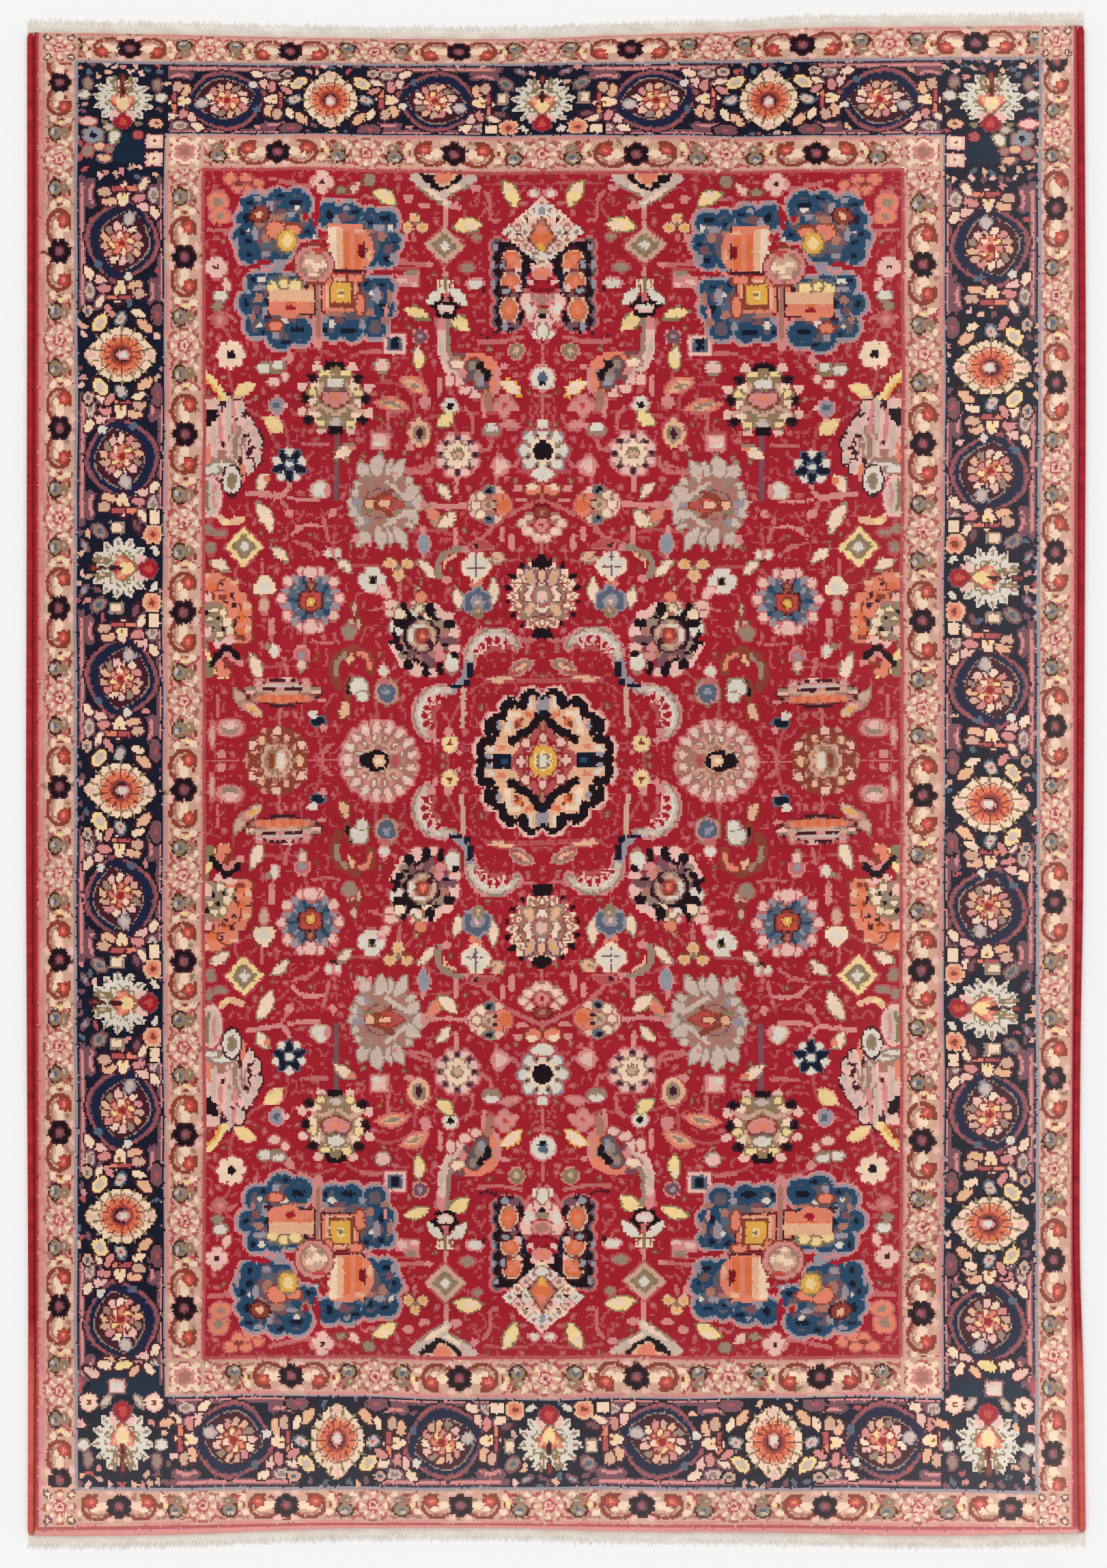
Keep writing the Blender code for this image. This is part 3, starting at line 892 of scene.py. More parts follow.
def side_orange_palmette(hand):
    """The orange palmette that the side guard cuts off, over a black chevron."""
    spots(
        hand, salmon=[(632, 342, 24, 18), (602, 328, 20, 17), (580, 306, 14, 12), (572, 284, 16, 18),
        (572, 258, 16), (580, 236, 24, 16), (620, 312, 18, 12), (600, 284, 22, 24)], edge="rust",
    )
    spots(
        hand, orange=[(634, 332, 10, 8), (604, 314, 12, 8), (578, 272, 9, 10), (582, 242, 14, 8)],
        peach=[(648, 352, 10, 7), (590, 338, 9, 6), (566, 292, 8, 6), (564, 250, 7, 8)],
        rust=[(612, 310, 8, 5), (583, 270, 6, 5), (578, 234, 10, 4), (632, 312, 6)],
        maroon=[(615, 334, 4, 6), (596, 314, 4), (590, 294, 5), (588, 262, 4, 6), (590, 244, 5, 3),
        (606, 300, 6, 3), (562, 272, 5, 2), (574, 320, 3, 4)],
    )
    hand.lay(cloud((626, 278, 20), (640, 254, 24), (614, 254, 16), (648, 290, 14)), clay=3, taupe=0)
    spots(
        hand, cream=[(628, 286, 10, 5), (611, 283, 6, 8), (604, 262, 9, 7), (618, 240, 7, 8),
        (636, 270, 9, 4), (598, 246, 6, 7)], edge="olive",
    )
    spots(
        hand, black=[(620, 270, 4, 5), (632, 252, 4), (612, 250, 3, 5), (642, 282, 4)],
        pale_pink=[(644, 244, 11, 12), (600, 226, 16, 7), (622, 222, 10, 7), (642, 310, 9, 8)],
    )
    stems(
        hand, olive=(18, [(650, 222), (643, 192), (640, 166)]),
        butter=(12, [(646, 208), (630, 184), (620, 162), (606, 160)]),
    )
    spots(hand, salmon=[(612, 168, 12, 10), (620, 182, 10, 7), (590, 192, 12, 8)], edge="rust")
    stems(
        hand, rose=(10, [(618, 196), (604, 204), (590, 192), (578, 184)]),
        black=(12, [(634, 184), (620, 202), (606, 213), (592, 206), (584, 198)]),
    )


def boat_leaf(hand):
    """A long leaf lying across, pointed at both ends: grey-white scallops above, orange below."""
    hand.lay(cloud(*((x, 12, 10) for x in range(-44, 45, 22))), rosewood=3, rose=0, stone=-3)
    hand.at(-78, -4, 90).lay(leaf(156, 46), maroon=3, rust=0)
    hand.at(-66, -14, 90).lay(leaf(132, 22), clay=0, salmon=-3)
    spots(hand, orange=[(x, -15, 6, 5) for x in range(-36, 37, 18)])
    hand.at(-70, 2, 90).lay(leaf(140, 13), taupe=1, tan=-1)
    hand.at(-54, 10, 90).lay(leaf(108, 14), rose=1, stone=-1)
    spots(
        hand, maroon=[(26, 4, 14, 2), (-20, 4, 18, 2)],
        pale_pink=[(-10, 24, 9, 5), (62, -2, 9, 6), (-64, -2, 9, 6)],
    )


def curled_palmette(hand):
    """The brown and pink palmette of the field's sides, curls round a cream core."""
    hand.lay(lobed(11, 48, 62, sharp=0.3), rust=2, rose=0, clay=-5)
    for petal in hand.around(11, 45, first=16):
        petal.lay(arc(11, -120, 140, 8), rust=0)
        petal.lay(oval(6), peach=0)
    hand.ring(6, 54, oval(9, 8), first=30, rust=2, pale_pink=0)
    hand.lay(lobed(7, 24, 31), rust=3, tan=0, clay=-7, olive=-11)
    hand.at(0, -8).lay(oval(14, 9), peach=2, ivory=-2)
    hand.at(0, 10).lay(oval(11, 5), rust=0)


def edge_half_palmette(hand):
    """A half palmette cut off by the end guard: pale wings under a black fork."""
    hand.at(189, 1118).lay(oval(58, 34), rosewood=2, tan=0)
    hand.at(190, 1116).lay(oval(28, 24), rust=2, peach=0, salmon=-9)
    stems(hand, black=(9, [(230, 1116), (212, 1100), (194, 1090), (178, 1096), (156, 1116)]))
    spots(hand, black=[(217, 1107, 13, 8)])
    stems(hand, stone=(17, [(246, 1110), (222, 1090), (200, 1076), (182, 1062)]))
    stems(
        hand, stone=(14, [(188, 1080), (166, 1092), (146, 1104), (130, 1114)]),
        cream=(9, [(222, 1088), (200, 1074), (184, 1064)], [(180, 1084), (160, 1096)]),
        taupe=(5, [(236, 1092), (214, 1074), (194, 1062)], [(176, 1078), (154, 1090), (134, 1100)]),
    )
    spots(hand, rose=[(226, 1057, 12, 7), (165, 1057, 12, 8), (256, 1070, 10, 8), (128, 1094, 10, 7)])


def lily(hand):
    """A white three-petalled lily over a white ball."""
    blocks(
        hand, cream=[(186, 906, 15, 13)],
        olive=[(186, 905, 4, 16), (197, 904, 2, 12), (174, 904, 2, 12)],
    )
    leaves(hand, ivory=[(178, 900, 144, 868, 20), (194, 900, 222, 868, 20)], edge="rust")
    stems(
        hand, black=(6, [(212, 866), (198, 876), (186, 888)], [(160, 866), (172, 876), (184, 888)]),
        vine=(12, [(184, 886), (185, 870)]),
    )
    spots(hand, pale_pink=[(185, 862, 17, 10)], edge="black")
    spots(hand, ivory=[(185, 863, 11, 6)])
    stems(hand, black=(6, [(204, 852), (186, 846), (168, 852)]))


# ---------------------------------------------------------------- the field


def draw_vines(hand):
    """The stems that join the field's motifs in one quarter."""
    stems(
        hand, rosewood=(6, [(0, 155), (60, 155), (98, 155), (150, 120), (182, 60), (182, 0)],
        [(138, 182), (124, 240), (125, 300), (128, 370), (150, 420), (200, 440), (310, 430)],
        [(234, 300), (260, 350), (330, 372), (400, 360), (447, 305)],
        [(158, 620), (190, 660), (240, 650), (250, 700), (300, 720), (350, 700)],
        [(235, 800), (235, 740), (230, 690), (262, 660)],
        [(447, 250), (470, 200), (520, 180), (570, 190)],
        [(313, 76), (320, 110), (300, 134), (270, 160), (234, 200)],
        [(577, 380), (590, 350), (560, 330), (538, 319)],
        [(487, 590), (500, 640), (540, 650), (590, 690), (603, 750)],
        [(400, 740), (360, 770), (300, 780), (286, 796)],
        [(0, 1075), (20, 1100), (60, 1105), (110, 1100)],
        [(60, 700), (75, 678), (110, 660), (160, 672)],
        [(278, 372), (240, 380), (200, 400), (176, 400)], [(440, 80), (430, 40), (420, 0)],
        [(510, 750), (480, 770), (440, 780), (400, 770)],
        [(640, 760), (600, 800), (620, 840), (625, 900)]),
        vine=(8, [(128, 400), (100, 440), (60, 470), (0, 500)],
        [(0, 388), (0, 460), (0, 640), (0, 700), (0, 790)], [(84, 565), (60, 560), (40, 580)],
        [(98, 620), (104, 596), (150, 583)], [(112, 1088), (100, 1070), (98, 1036), (84, 1032)],
        [(130, 998), (118, 1000)], [(246, 1004), (244, 988)], [(292, 952), (260, 948), (216, 944)],
        [(204, 840), (198, 800), (196, 770)], [(272, 550), (240, 550), (216, 556), (210, 578)],
        [(272, 552), (250, 556), (222, 566)], [(640, 1006), (600, 1008)],
        [(296, 664), (297, 640), (292, 616)], [(148, 672), (136, 656), (134, 628)],
        [(462, 602), (432, 600), (414, 600)], [(500, 492), (488, 476), (480, 460)],
        [(420, 462), (414, 440), (410, 420)], [(480, 416), (450, 408), (430, 392)],
        [(640, 1008), (612, 1004), (600, 1000)], [(538, 378), (538, 344)],
        [(330, 284), (312, 288), (292, 296)], [(624, 124), (624, 86)],
        [(440, 226), (412, 222), (390, 226)], [(494, 196), (490, 166)],
        [(348, 776), (322, 780), (300, 776)], [(60, 240), (30, 230), (0, 240)],
        [(402, 30), (416, 22), (424, 4)], [(560, 0), (600, 0), (648, 0)],
        [(390, 0), (430, 0), (460, 0)], [(505, 58), (505, 90), (500, 110)], [(274, 336), (272, 312)],
        [(640, 842), (606, 846), (590, 836)], [(440, 1090), (470, 1092), (520, 1104)],
        [(340, 1076), (322, 1070), (310, 1086)], [(186, 830), (184, 790)]),
        rose=(9, [(184, 1052), (184, 1000)], [(186, 950), (185, 922)],
        [(228, 488), (180, 486), (138, 488)], [(566, 508), (530, 504), (500, 502), (484, 522)],
        [(486, 498), (460, 494), (430, 494)], [(478, 428), (462, 444), (424, 445)],
        [(163, 548), (166, 512)], [(166, 444), (164, 412)], [(197, 730), (198, 700)],
        [(114, 694), (112, 660)], [(228, 446), (228, 428)], [(75, 444), (76, 424)],
        [(222, 947), (214, 946)]), mauve=(11, [(395, 620), (396, 560), (396, 500)]),
    )


def field_filling(hand, kind):
    """What fills bare ground between the stems: short tendrils, and a small leaf at times."""
    if kind < 0.5:
        hand.stroke([(0, -7), (4, 0), (0, 8)], 4, "rosewood")
    elif kind < 0.7:
        hand.lay(oval(5, 3), rosewood=0)
    elif kind < 0.9:
        hand.at(0, -6).lay(leaf(13, 7), rosewood=1, vine=-1)
    else:
        hand.at(0, -6).lay(leaf(13, 7), rust=1, clay=-1)


def draw_upper_quarter(hand):
    """From the field's end to its outer middle."""
    leaves(
        hand, butter=[(324, 1084, 280, 1060, 24), (74, 1108, 50, 1058, 24), (170, 1018, 114, 1024, 26),
        (178, 844, 142, 824, 26), (264, 858, 218, 842, 20), (240, 790, 240, 744, 20)], edge="olive",
    )
    spots(hand, cream=[(64, 1092, 8, 9), (300, 1080, 9, 7), (136, 1022, 16, 7), (240, 776, 6, 10)])
    clover(hand.at(243, 1022))
    eye_diamond(hand.at(186, 982), "tan")
    edge_half_palmette(hand)
    hand.at(259, 918).lay(box(21, 17), rosewood=2, rose=0)
    spots(hand, pale_pink=[(268, 912, 10, 8), (244, 908, 9, 5)], taupe=[(252, 928, 12, 8)])
    spots(hand, taupe=[(143, 941, 14, 9), (124, 1000, 9, 7)], edge="rosewood")
    spots(hand, ivory=[(128, 911, 14, 9), (15, 1084, 9, 6)], edge="rose")
    spots(hand, maroon=[(112, 902, 4, 8)])
    lily(hand)
    ringed_flower(hand.at(235, 808), "mauve", "lilac", 13, "rose")
    hand.at(283, 793).lay(box(20, 20), rosewood=2, pale_pink=0, steel=-7, navy=-11)
    half_wing(hand)
    axis_group(hand)
    ringed_flower(hand.at(50, 782), "olive", "tan", 14, "rose")

    # Round the corner cluster.
    four_petals(hand.at(422, 1098), "pale_pink", "maroon", 22)
    spots(
        hand, salmon=[(598, 1104, 13, 9), (568, 1104, 12, 9), (546, 1094, 11, 10), (566, 1086, 14, 8),
        (584, 1088, 10)], edge="rosewood",
    )
    spots(hand, rust=[(582, 1097, 8, 6), (556, 1098, 4, 5)])
    hand.at(621, 1060).lay(oval(20), vine=2, salmon=0, taupe=-11)
    hand.at(617, 1034).lay(oval(19, 15), vine=2, salmon=0, taupe=-9)
    leaves(hand, pale_pink=[(350, 1096, 378, 1080, 16), (600, 892, 610, 918, 16)], edge="rosewood")
    spots(hand, taupe=[(386, 1084, 12, 6), (332, 1104, 12, 10), (624, 862, 12, 8)], edge="rust")
    four_petals(hand.at(625, 936), "pale_pink", "maroon", 22)
    spots(hand, ivory=[(618, 882, 12, 9)], edge="taupe")
    ringed_flower(hand.at(619, 836), "vine", "rose", 14, "rosewood")
    small_flower(hand.at(598, 771), "cream", "black", 28)
    corner_cluster(hand)
    spots(hand, rose=[(486, 762, 9), (440, 1102, 5, 6), (262, 996, 6, 9), (300, 856, 4, 12)])

    # Over the large palmettes.
    leaves(hand, salmon=[(274, 726, 220, 700, 26), (322, 680, 256, 670, 24)], edge="vine")
    leaves(hand, taupe=[(262, 720, 234, 708, 10), (306, 680, 272, 674, 9)], edge="peach")
    ringed_flower(hand.at(177, 678), "ivory", "black", 14, "rose")
    leaves(hand, butter=[(172, 666, 202, 640, 22)], edge="olive")
    four_petals(hand.at(73, 678), size=21)
    spots(hand, rose=[(52, 672, 9, 6), (255, 598, 11, 7), (226, 684, 12, 13), (134, 557, 7, 6)])
    leaves(hand, cream=[(80, 724, 42, 698, 20)], edge="gold")
    ringed_flower(hand.at(0, 730), "ivory", "steel", 22, "rose")
    spots(hand, navy=[(4, 722, 4, 5)])
    leaves(hand, rose=[(82, 642, 42, 636, 16)], edge="vine")
    hand.at(98, 630).lay(oval(17, 14), rosewood=2, taupe=0)
    spots(hand, ivory=[(98, 636, 14, 7)])
    hand.at(237, 626).lay(leaf(30, 44, belly=0.3), rosewood=2, peach=0)
    hand.at(237, 624).lay(oval(21, 25), rosewood=2, peach=0, taupe=-7, maroon=-14)
    spots(hand, olive=[(228, 628, 4, 12)])
    hand.at(313, 608).lay(box(17, 17), rosewood=2, rose=0, pale_pink=-4)
    spots(hand, ivory=[(318, 602, 8, 6)])
    dotted_rosette(hand.at(163, 585))
    hand.at(98, 563, -90).lay(leaf(38, 40, belly=0.35), vine=2, rose=0, pale_pink=-8)
    axis_rosette(hand.at(0, 592))
    spots(hand, ivory=[(534, 744, 12, 9), (508, 748, 12, 7)], edge="taupe")
    spots(hand, pale_pink=[(516, 716, 11, 8), (495, 728, 7, 9)], edge="rosewood")
    spots(hand, olive=[(512, 736, 12, 4)])
    olive_palmette(hand.at(398, 685))
    leaves(hand, butter=[(592, 690, 552, 714, 20), (534, 646, 500, 620, 24)], edge="peach")
    ringed_flower(hand.at(511, 672), "lilac", "steel", 15, "rose")
    spots(hand, pale_pink=[(494, 672, 6, 8)])
    spots(hand, pale_pink=[(308, 750, 13, 12)], edge="taupe")
    side_palmette(hand)


def draw_middle_quarter(hand):
    """The outer middle of the field."""
    dark_star(hand.at(486, 560, 180))
    leaves(
        hand, cream=[(400, 574, 360, 598, 18), (546, 512, 524, 542, 20), (546, 488, 520, 434, 24),
        (520, 404, 488, 378, 17), (202, 530, 178, 500, 15)],
    )
    spots(hand, salmon=[(366, 594, 8, 6), (528, 532, 7)])
    hand.at(426, 498).lay(leaf(38, 42, belly=0.35), rosewood=2, tan=0, ivory=-6)
    spots(hand, rose=[(412, 512, 7, 10), (486, 470, 9, 8), (402, 470, 7, 9)])
    stems(hand, peach=(13, [(628, 474), (614, 458), (600, 451), (576, 458)]))
    spots(hand, butter=[(624, 468, 8), (606, 454, 8, 5)])
    eye_diamond(hand.at(572, 405, 90), "butter")
    spots(hand, taupe=[(618, 432, 14, 8), (640, 440, 8, 10), (636, 404, 9, 12)], edge="rosewood")
    feather_palmette(hand)
    leaves(hand, salmon=[(222, 484, 192, 444, 18)])
    leaves(hand, cream=[(166, 474, 200, 446, 22)], edge="olive")
    leaves(hand, blue_grey=[(228, 436, 228, 392, 22)], edge="rose")
    pomegranate(hand.at(99, 488, flip=True))
    spots(hand, salmon=[(18, 518, 15, 12)], edge="rust")
    spots(hand, cream=[(21, 524, 10, 6)], rose=[(46, 521, 9, 7), (40, 498, 12, 5), (57, 418, 7, 17)])
    leaves(hand, rosewood=[(140, 416, 92, 408, 16)], edge="vine")
    spots(hand, maroon=[(126, 412, 6, 5)])
    hand.at(0, 476).lay(oval(18, 13), deep_red=2, rust=-2, clay=-8)
    spots(hand, pale_pink=[(25, 464, 8), (36, 452, 9), (26, 438, 10, 9), (9, 428, 9, 8)], edge="clay")
    hand.at(0, 450).lay(oval(14, 12), rosewood=1, rose=-1, crimson=-8)
    spots(hand, cream=[(36, 454, 4), (24, 438, 5, 4), (6, 430, 5, 4)])
    spots(hand, ivory=[(392, 394, 6, 8), (409, 395, 6, 8)], edge="rose")
    stems(hand, maroon=(4, [(406, 384), (400, 378), (392, 384)]))


def draw_lower_quarter(hand):
    """From the large palmettes to the medallion."""
    stems(
        hand, taupe=(13, [(196, 352), (198, 378), (184, 396), (160, 404), (144, 402)]),
        peach=(5, [(188, 366), (184, 384), (164, 394)]),
    )
    spots(hand, rose=[(182, 348, 10, 8), (146, 404, 8, 6)])
    hand.at(126, 372).lay(lobed(4, 22, 29, sharp=0.2), rosewood=2, cream=0, ivory=-6)
    stems(hand, mauve=(3.5, [(126, 394), (126, 350)], [(150, 366), (126, 370), (102, 366)]))
    clover(hand.at(275, 368, 180).stretched(1.15, 1.15))
    leaves(
        hand, cream=[(238, 384, 206, 350, 15), (93, 348, 97, 294, 18), (166, 330, 160, 292, 18),
        (560, 202, 543, 152, 21), (392, 378, 366, 358, 15), (636, 378, 602, 362, 17)],
        peach=[(102, 386, 74, 380, 13), (240, 330, 238, 300, 14), (96, 395, 70, 384, 10)],
    )
    hand.at(124, 303).lay(lobed(6, 23, 28), lilac=2, steel=-2)
    hand.at(124, 303).lay(oval(12, 10), lilac=2, pale_pink=-5)
    spots(hand, olive=[(122, 284, 9)], edge="taupe")
    spots(hand, tan=[(122, 286, 5)], salmon=[(132, 336, 8), (118, 340, 5)])
    hand.at(326, 342).lay(lobed(4, 20, 26), vine=2, ivory=0)
    spots(hand, black=[(325, 342, 6)], edge="olive")
    leaves(hand, pale_pink=[(314, 330, 290, 310, 15)], edge="rose")
    star_flower(hand)
    cloud_crescent(hand.at(88, 190, flip=True))
    cloud_crescent(hand.at(186, 86, 84))
    stems(hand, lilac=(16, [(140, 186), (150, 156), (168, 142)]))
    blocks(hand, navy=[(137, 172, 6, 13), (166, 142, 12, 5), (145, 150, 6, 5)])
    leaves(hand, taupe=[(64, 164, 16, 192, 24)], edge="rose")
    leaves(hand, peach=[(58, 168, 30, 184, 9), (108, 154, 46, 158, 11)], edge="rosewood")
    stems(hand, tan=(9, [(152, 136), (152, 100), (156, 66)]))
    ringed_flower(hand.at(178, 34), "butter", "rust", 14, "tan")
    spots(hand, rose=[(182, 58, 8), (214, 56, 9, 6), (206, 40, 6, 7), (160, 16, 5, 8)])
    hand.at(299, 131).lay(oval(20, 22), olive=4, rose=2, steel=-3, blue_grey=-13)
    spots(hand, ivory=[(304, 172, 9)], edge="rose")
    spots(hand, vine=[(304, 152, 12, 5)])
    round_palmette(hand.at(313, 2, 90))
    serrated_palmette(hand.at(0, 316))
    medallion(hand)

    # Towards the side.
    hand.at(533, 326).lay(cloud((0, 6, 17), (-10, -2, 12), (10, -2, 12)), rust=2, cream=0)
    spots(hand, ivory=[(533, 330, 12, 9)])
    spots(hand, tan=[(533, 294, 8, 14)], edge="vine")
    blue_petal_rosette(hand.at(444, 306))
    spots(hand, tan=[(360, 288, 5, 10), (352, 256, 5, 11), (366, 260, 7, 5)], edge="rust")
    spots(hand, taupe=[(370, 244, 14)], edge="rosewood")
    side_orange_palmette(hand)
    stems(hand, rose=(15, [(518, 266), (518, 240)]), vine=(6, [(518, 236), (516, 220)]))
    spots(hand, ivory=[(513, 208, 9)], edge="rose")
    spots(hand, taupe=[(526, 216, 6)])
    ringed_flower(hand.at(461, 201), "vine", "lilac", 14, "rose")
    spots(hand, pale_pink=[(462, 181, 7, 10)], edge="taupe")
    boat_leaf(hand.at(499, 132))
    stems(
        hand, rust=(19, [(392, 142), (400, 170), (388, 198), (356, 208), (330, 192), (330, 172)]),
        taupe=(9, [(396, 160), (394, 184), (376, 200)]),
        salmon=(9, [(352, 204), (336, 196), (330, 174)]),
    )
    leaves(hand, peach=[(364, 204, 372, 182, 13), (376, 112, 388, 78, 19)], edge="rust")
    spots(hand, black=[(368, 146, 8, 7), (374, 130, 5, 10)], edge="rust")
    spots(hand, ivory=[(352, 140, 17, 15), (346, 122, 11, 9)], edge="taupe")
    spots(hand, navy=[(431, 75, 13, 9)], edge="steel")
    spots(hand, ivory=[(441, 88, 9, 8)], rose=[(420, 62, 9, 7), (424, 113, 9, 6), (616, 14, 9)])
    leaves(hand, tan=[(592, 136, 574, 98, 17)], rose=[(584, 110, 540, 86, 18)])
    leaves(hand, gold=[(566, 102, 544, 88, 9)], edge="peach")
    hand.at(600, 62).lay(oval(26, 18), rosewood=3, rose=0, taupe=-6)
    spots(hand, pale_pink=[(600, 66, 14, 8)])
    spots(hand, tan=[(634, 50, 5, 19)], edge="vine")
    curled_palmette(hand.at(510, 4, 90))


def draw_field():
    """A quarter, which is folded out over the whole field. It is drawn from a little past both
    axes, so that what crosses them is whole."""
    past = 60  # knots
    quarter = Chart(-KNOT * past, -KNOT * past, KNOT * 204, KNOT * 352, "crimson")
    hand = Hand(quarter)
    draw_vines(hand)
    draw_lower_quarter(hand)
    draw_middle_quarter(hand)
    draw_upper_quarter(hand)
    quarter.strew("crimson", 15, 7, field_filling, 34)
    return quarter.dyes[past:, past:]


# ---------------------------------------------------------------- guards and main border

CORNERS = ((-1, 1), (1, 1), (-1, -1), (1, -1))
GUARD_REPEAT = 333  # the repeat that guard_half is drawn for
LANCET_TURN = 104  # from up, to one side and the other by turns


def guard_blossom(hand):
    """The black flower that starts each repeat of a guard."""
    for side in hand.both():
        spots(side, cream=[(33, 1, 11, 9)], pale_pink=[(17, 25, 8, 5), (16, -25, 8, 5)])
    hand.lay(lobed(6, 16, 23), maroon=1, black=-1)
    hand.lay(oval(10), maroon=1, mauve=-1, rosewood=-6)


def guard_half(hand):
    """From a black flower, half a repeat along x to the pale flower. y is across the guard, its
    upper side next to the main border."""
    stems(
        hand, rose=(5, [(24, 32), (90, 33), (150, 32)], [(24, -32), (90, -33), (150, -32)]),
        clay=(5, [(76, -24), (96, -20), (104, -26)], [(126, 26), (140, 22), (150, 27)]),
        rosewood=(5, [(84, 28), (97, 15), (101, -2), (92, -14)], [(124, -25), (140, -22), (150, -27)]),
        rust=(8, [(20, -18), (38, -24), (57, -22), (71, -8), (71, 9), (61, 20), (44, 22)]),
    )
    stems(hand, clay=(4, [(26, -14), (42, -17), (54, -14), (62, -4)]))
    hand.at(55, 8).lay(oval(11, 9), rust=2, coral=0, salmon=-5)
    spots(
        hand, cream=[(49, -7, 8, 5), (86, 16, 6, 9), (82, -13, 8, 6), (138, 7, 6, 10), (126, 22, 7, 5)],
        butter=[(92, 3, 4, 7)], rust=[(131, -8, 5), (104, 22, 7, 4), (84, 2, 3, 6)],
    )
    hand.at(113, -8).lay(oval(15, 13), maroon=1, olive=-1, taupe=-4, steel=-8)
    spots(hand, olive=[(114, 11, 9, 6)], edge="clay")
    spots(hand, stone=[(110, -14, 6, 4), (117, 10, 4, 3)])


def guard_pale_flower(hand):
    """The large flower halfway along a repeat, hardly darker than its ground."""
    hand.lay(lobed(8, 24, 31), rosewood=1, clay=-1, cream=-4)
    hand.ring(8, 19, oval(3, 7), first=22.5, tan=1, rose=-1)
    hand.lay(lobed(5, 10, 14), rosewood=0, pale_pink=-4, rose=-8)
    spots(hand, rust=[(0, 1, 4, 3)])


def draw_guard(hand, blossoms):
    """A guard along x, with a dark flower at each of the places."""
    places = [2 * blossoms[0] - blossoms[1], *blossoms, 2 * blossoms[-1] - blossoms[-2]]
    for place, after in zip(places, places[1:]):
        stretch = (after - place) / GUARD_REPEAT
        for flip, origin in ((False, place), (True, after)):
            guard_half(hand.at(origin, 0, flip=flip).stretched(stretch, 1))
        guard_pale_flower(hand.at((place + after) / 2, 0))
    for place in places:
        guard_blossom(hand.at(place, 0))


def draw_guards(hand, p, q, inner, left, right, top, bottom):
    """A guard along each side, p and q from the middle. Its upper side faces the main border, so
    the inner guard lies the other way up."""
    for place, flip, blossoms in ((-p, not inner, left), (p, inner, right)):
        if not flip:
            blossoms = [-along for along in reversed(blossoms)]
        draw_guard(hand.at(place, 0, 90, flip), blossoms)
    draw_guard(hand.at(0, q, 0 if inner else 180), top)
    draw_guard(hand.at(0, -q, 180 if inner else 0), bottom)


def guard_filling(hand, kind):
    """A small leaf or bud on a guard's ground."""
    dye = ("clay", "rosewood", "clay", "rust", "taupe", "cream", "olive", "rose")[int(kind * 8)]
    hand.at(0, -7).lay(leaf(14, 8, bend=3), **{dye: 0})


def border_filling(hand, kind):
    """A small leaf or bud on the main border's ground."""
    dye = ("tan", "mauve", "peach", "rosewood", "rose", "steel", "pale_pink", "mauve")[int(kind * 8)]
    if kind * 8 % 1 < 0.5:
        hand.at(0, -8).lay(leaf(17, 9, bend=3), **{dye: 0})
    else:
        hand.lay(oval(5, 8), **{dye: 0})


def white_palmette(hand):
    """Grey-white and serrated, with a flame through it. Up is outwards."""
    hand.lay(lobed(13, 40, 62, sharp=0.55), black=3, ivory=-1)
    hand.ring(13, 40, leaf(18, 5), taupe=0)
    hand.lay(lobed(13, 25, 36, sharp=0.3), olive=0, ivory=-4)
    hand.pair(14, 36, oval(6, 20), turn=4, olive=0, pale_pink=-4)
    hand.at(0, 8).lay(leaf(56, 15, belly=0.8), maroon=0, rust=-4)
    hand.at(0, -6).lay(diamond(25, 30), olive=0, coral=-2, salmon=-4)
    hand.pair(14, 0, oval(6, 12), turn=40, salmon=0, peach=-3)
    hand.at(0, -30).lay(leaf(36, 24), butter=0)
    hand.at(0, 10).lay(oval(5, 14), maroon=0)
    hand.pair(17, -40, oval(7, 14), turn=160, pale_pink=0)
    hand.at(0, -72).lay(leaf(40, 36, belly=0.4), mauve=2, crimson=-1, coral=-11)


def orange_rosette(hand):
    """An orange flower in cream petals that run to a point at the outer edge of the border."""
    outline = hand.at(0, -68)
    outline.lay(leaf(142, 110, belly=0.46), black=3, tan=-1)
    flower = hand.stretched(1, 1.1)
    flower.lay(lobed(14, 48, 53), black=3, cream=-1)
    outline.lay(leaf(142, 104, belly=0.46), cream=-4)
    flower.ring(14, 38, leaf(21, 5), first=12.9, olive=0)
    flower.lay(lobed(14, 33, 39), clay=0, peach=-1, salmon=-5)
    flower.ring(14, 20, leaf(17, 6), orange=0)
    flower.ring(14, 19, leaf(20, 4), first=12.9, rust=0)
    hand.lay(oval(20, 21), coral=1, rust=-1, maroon=-6)
    hand.at(0, -3).lay(oval(9, 12), rose=1, ivory=-2)
    spots(hand, pale_pink=[(0, 60, 6, 9), (0, -56, 8, 6)])


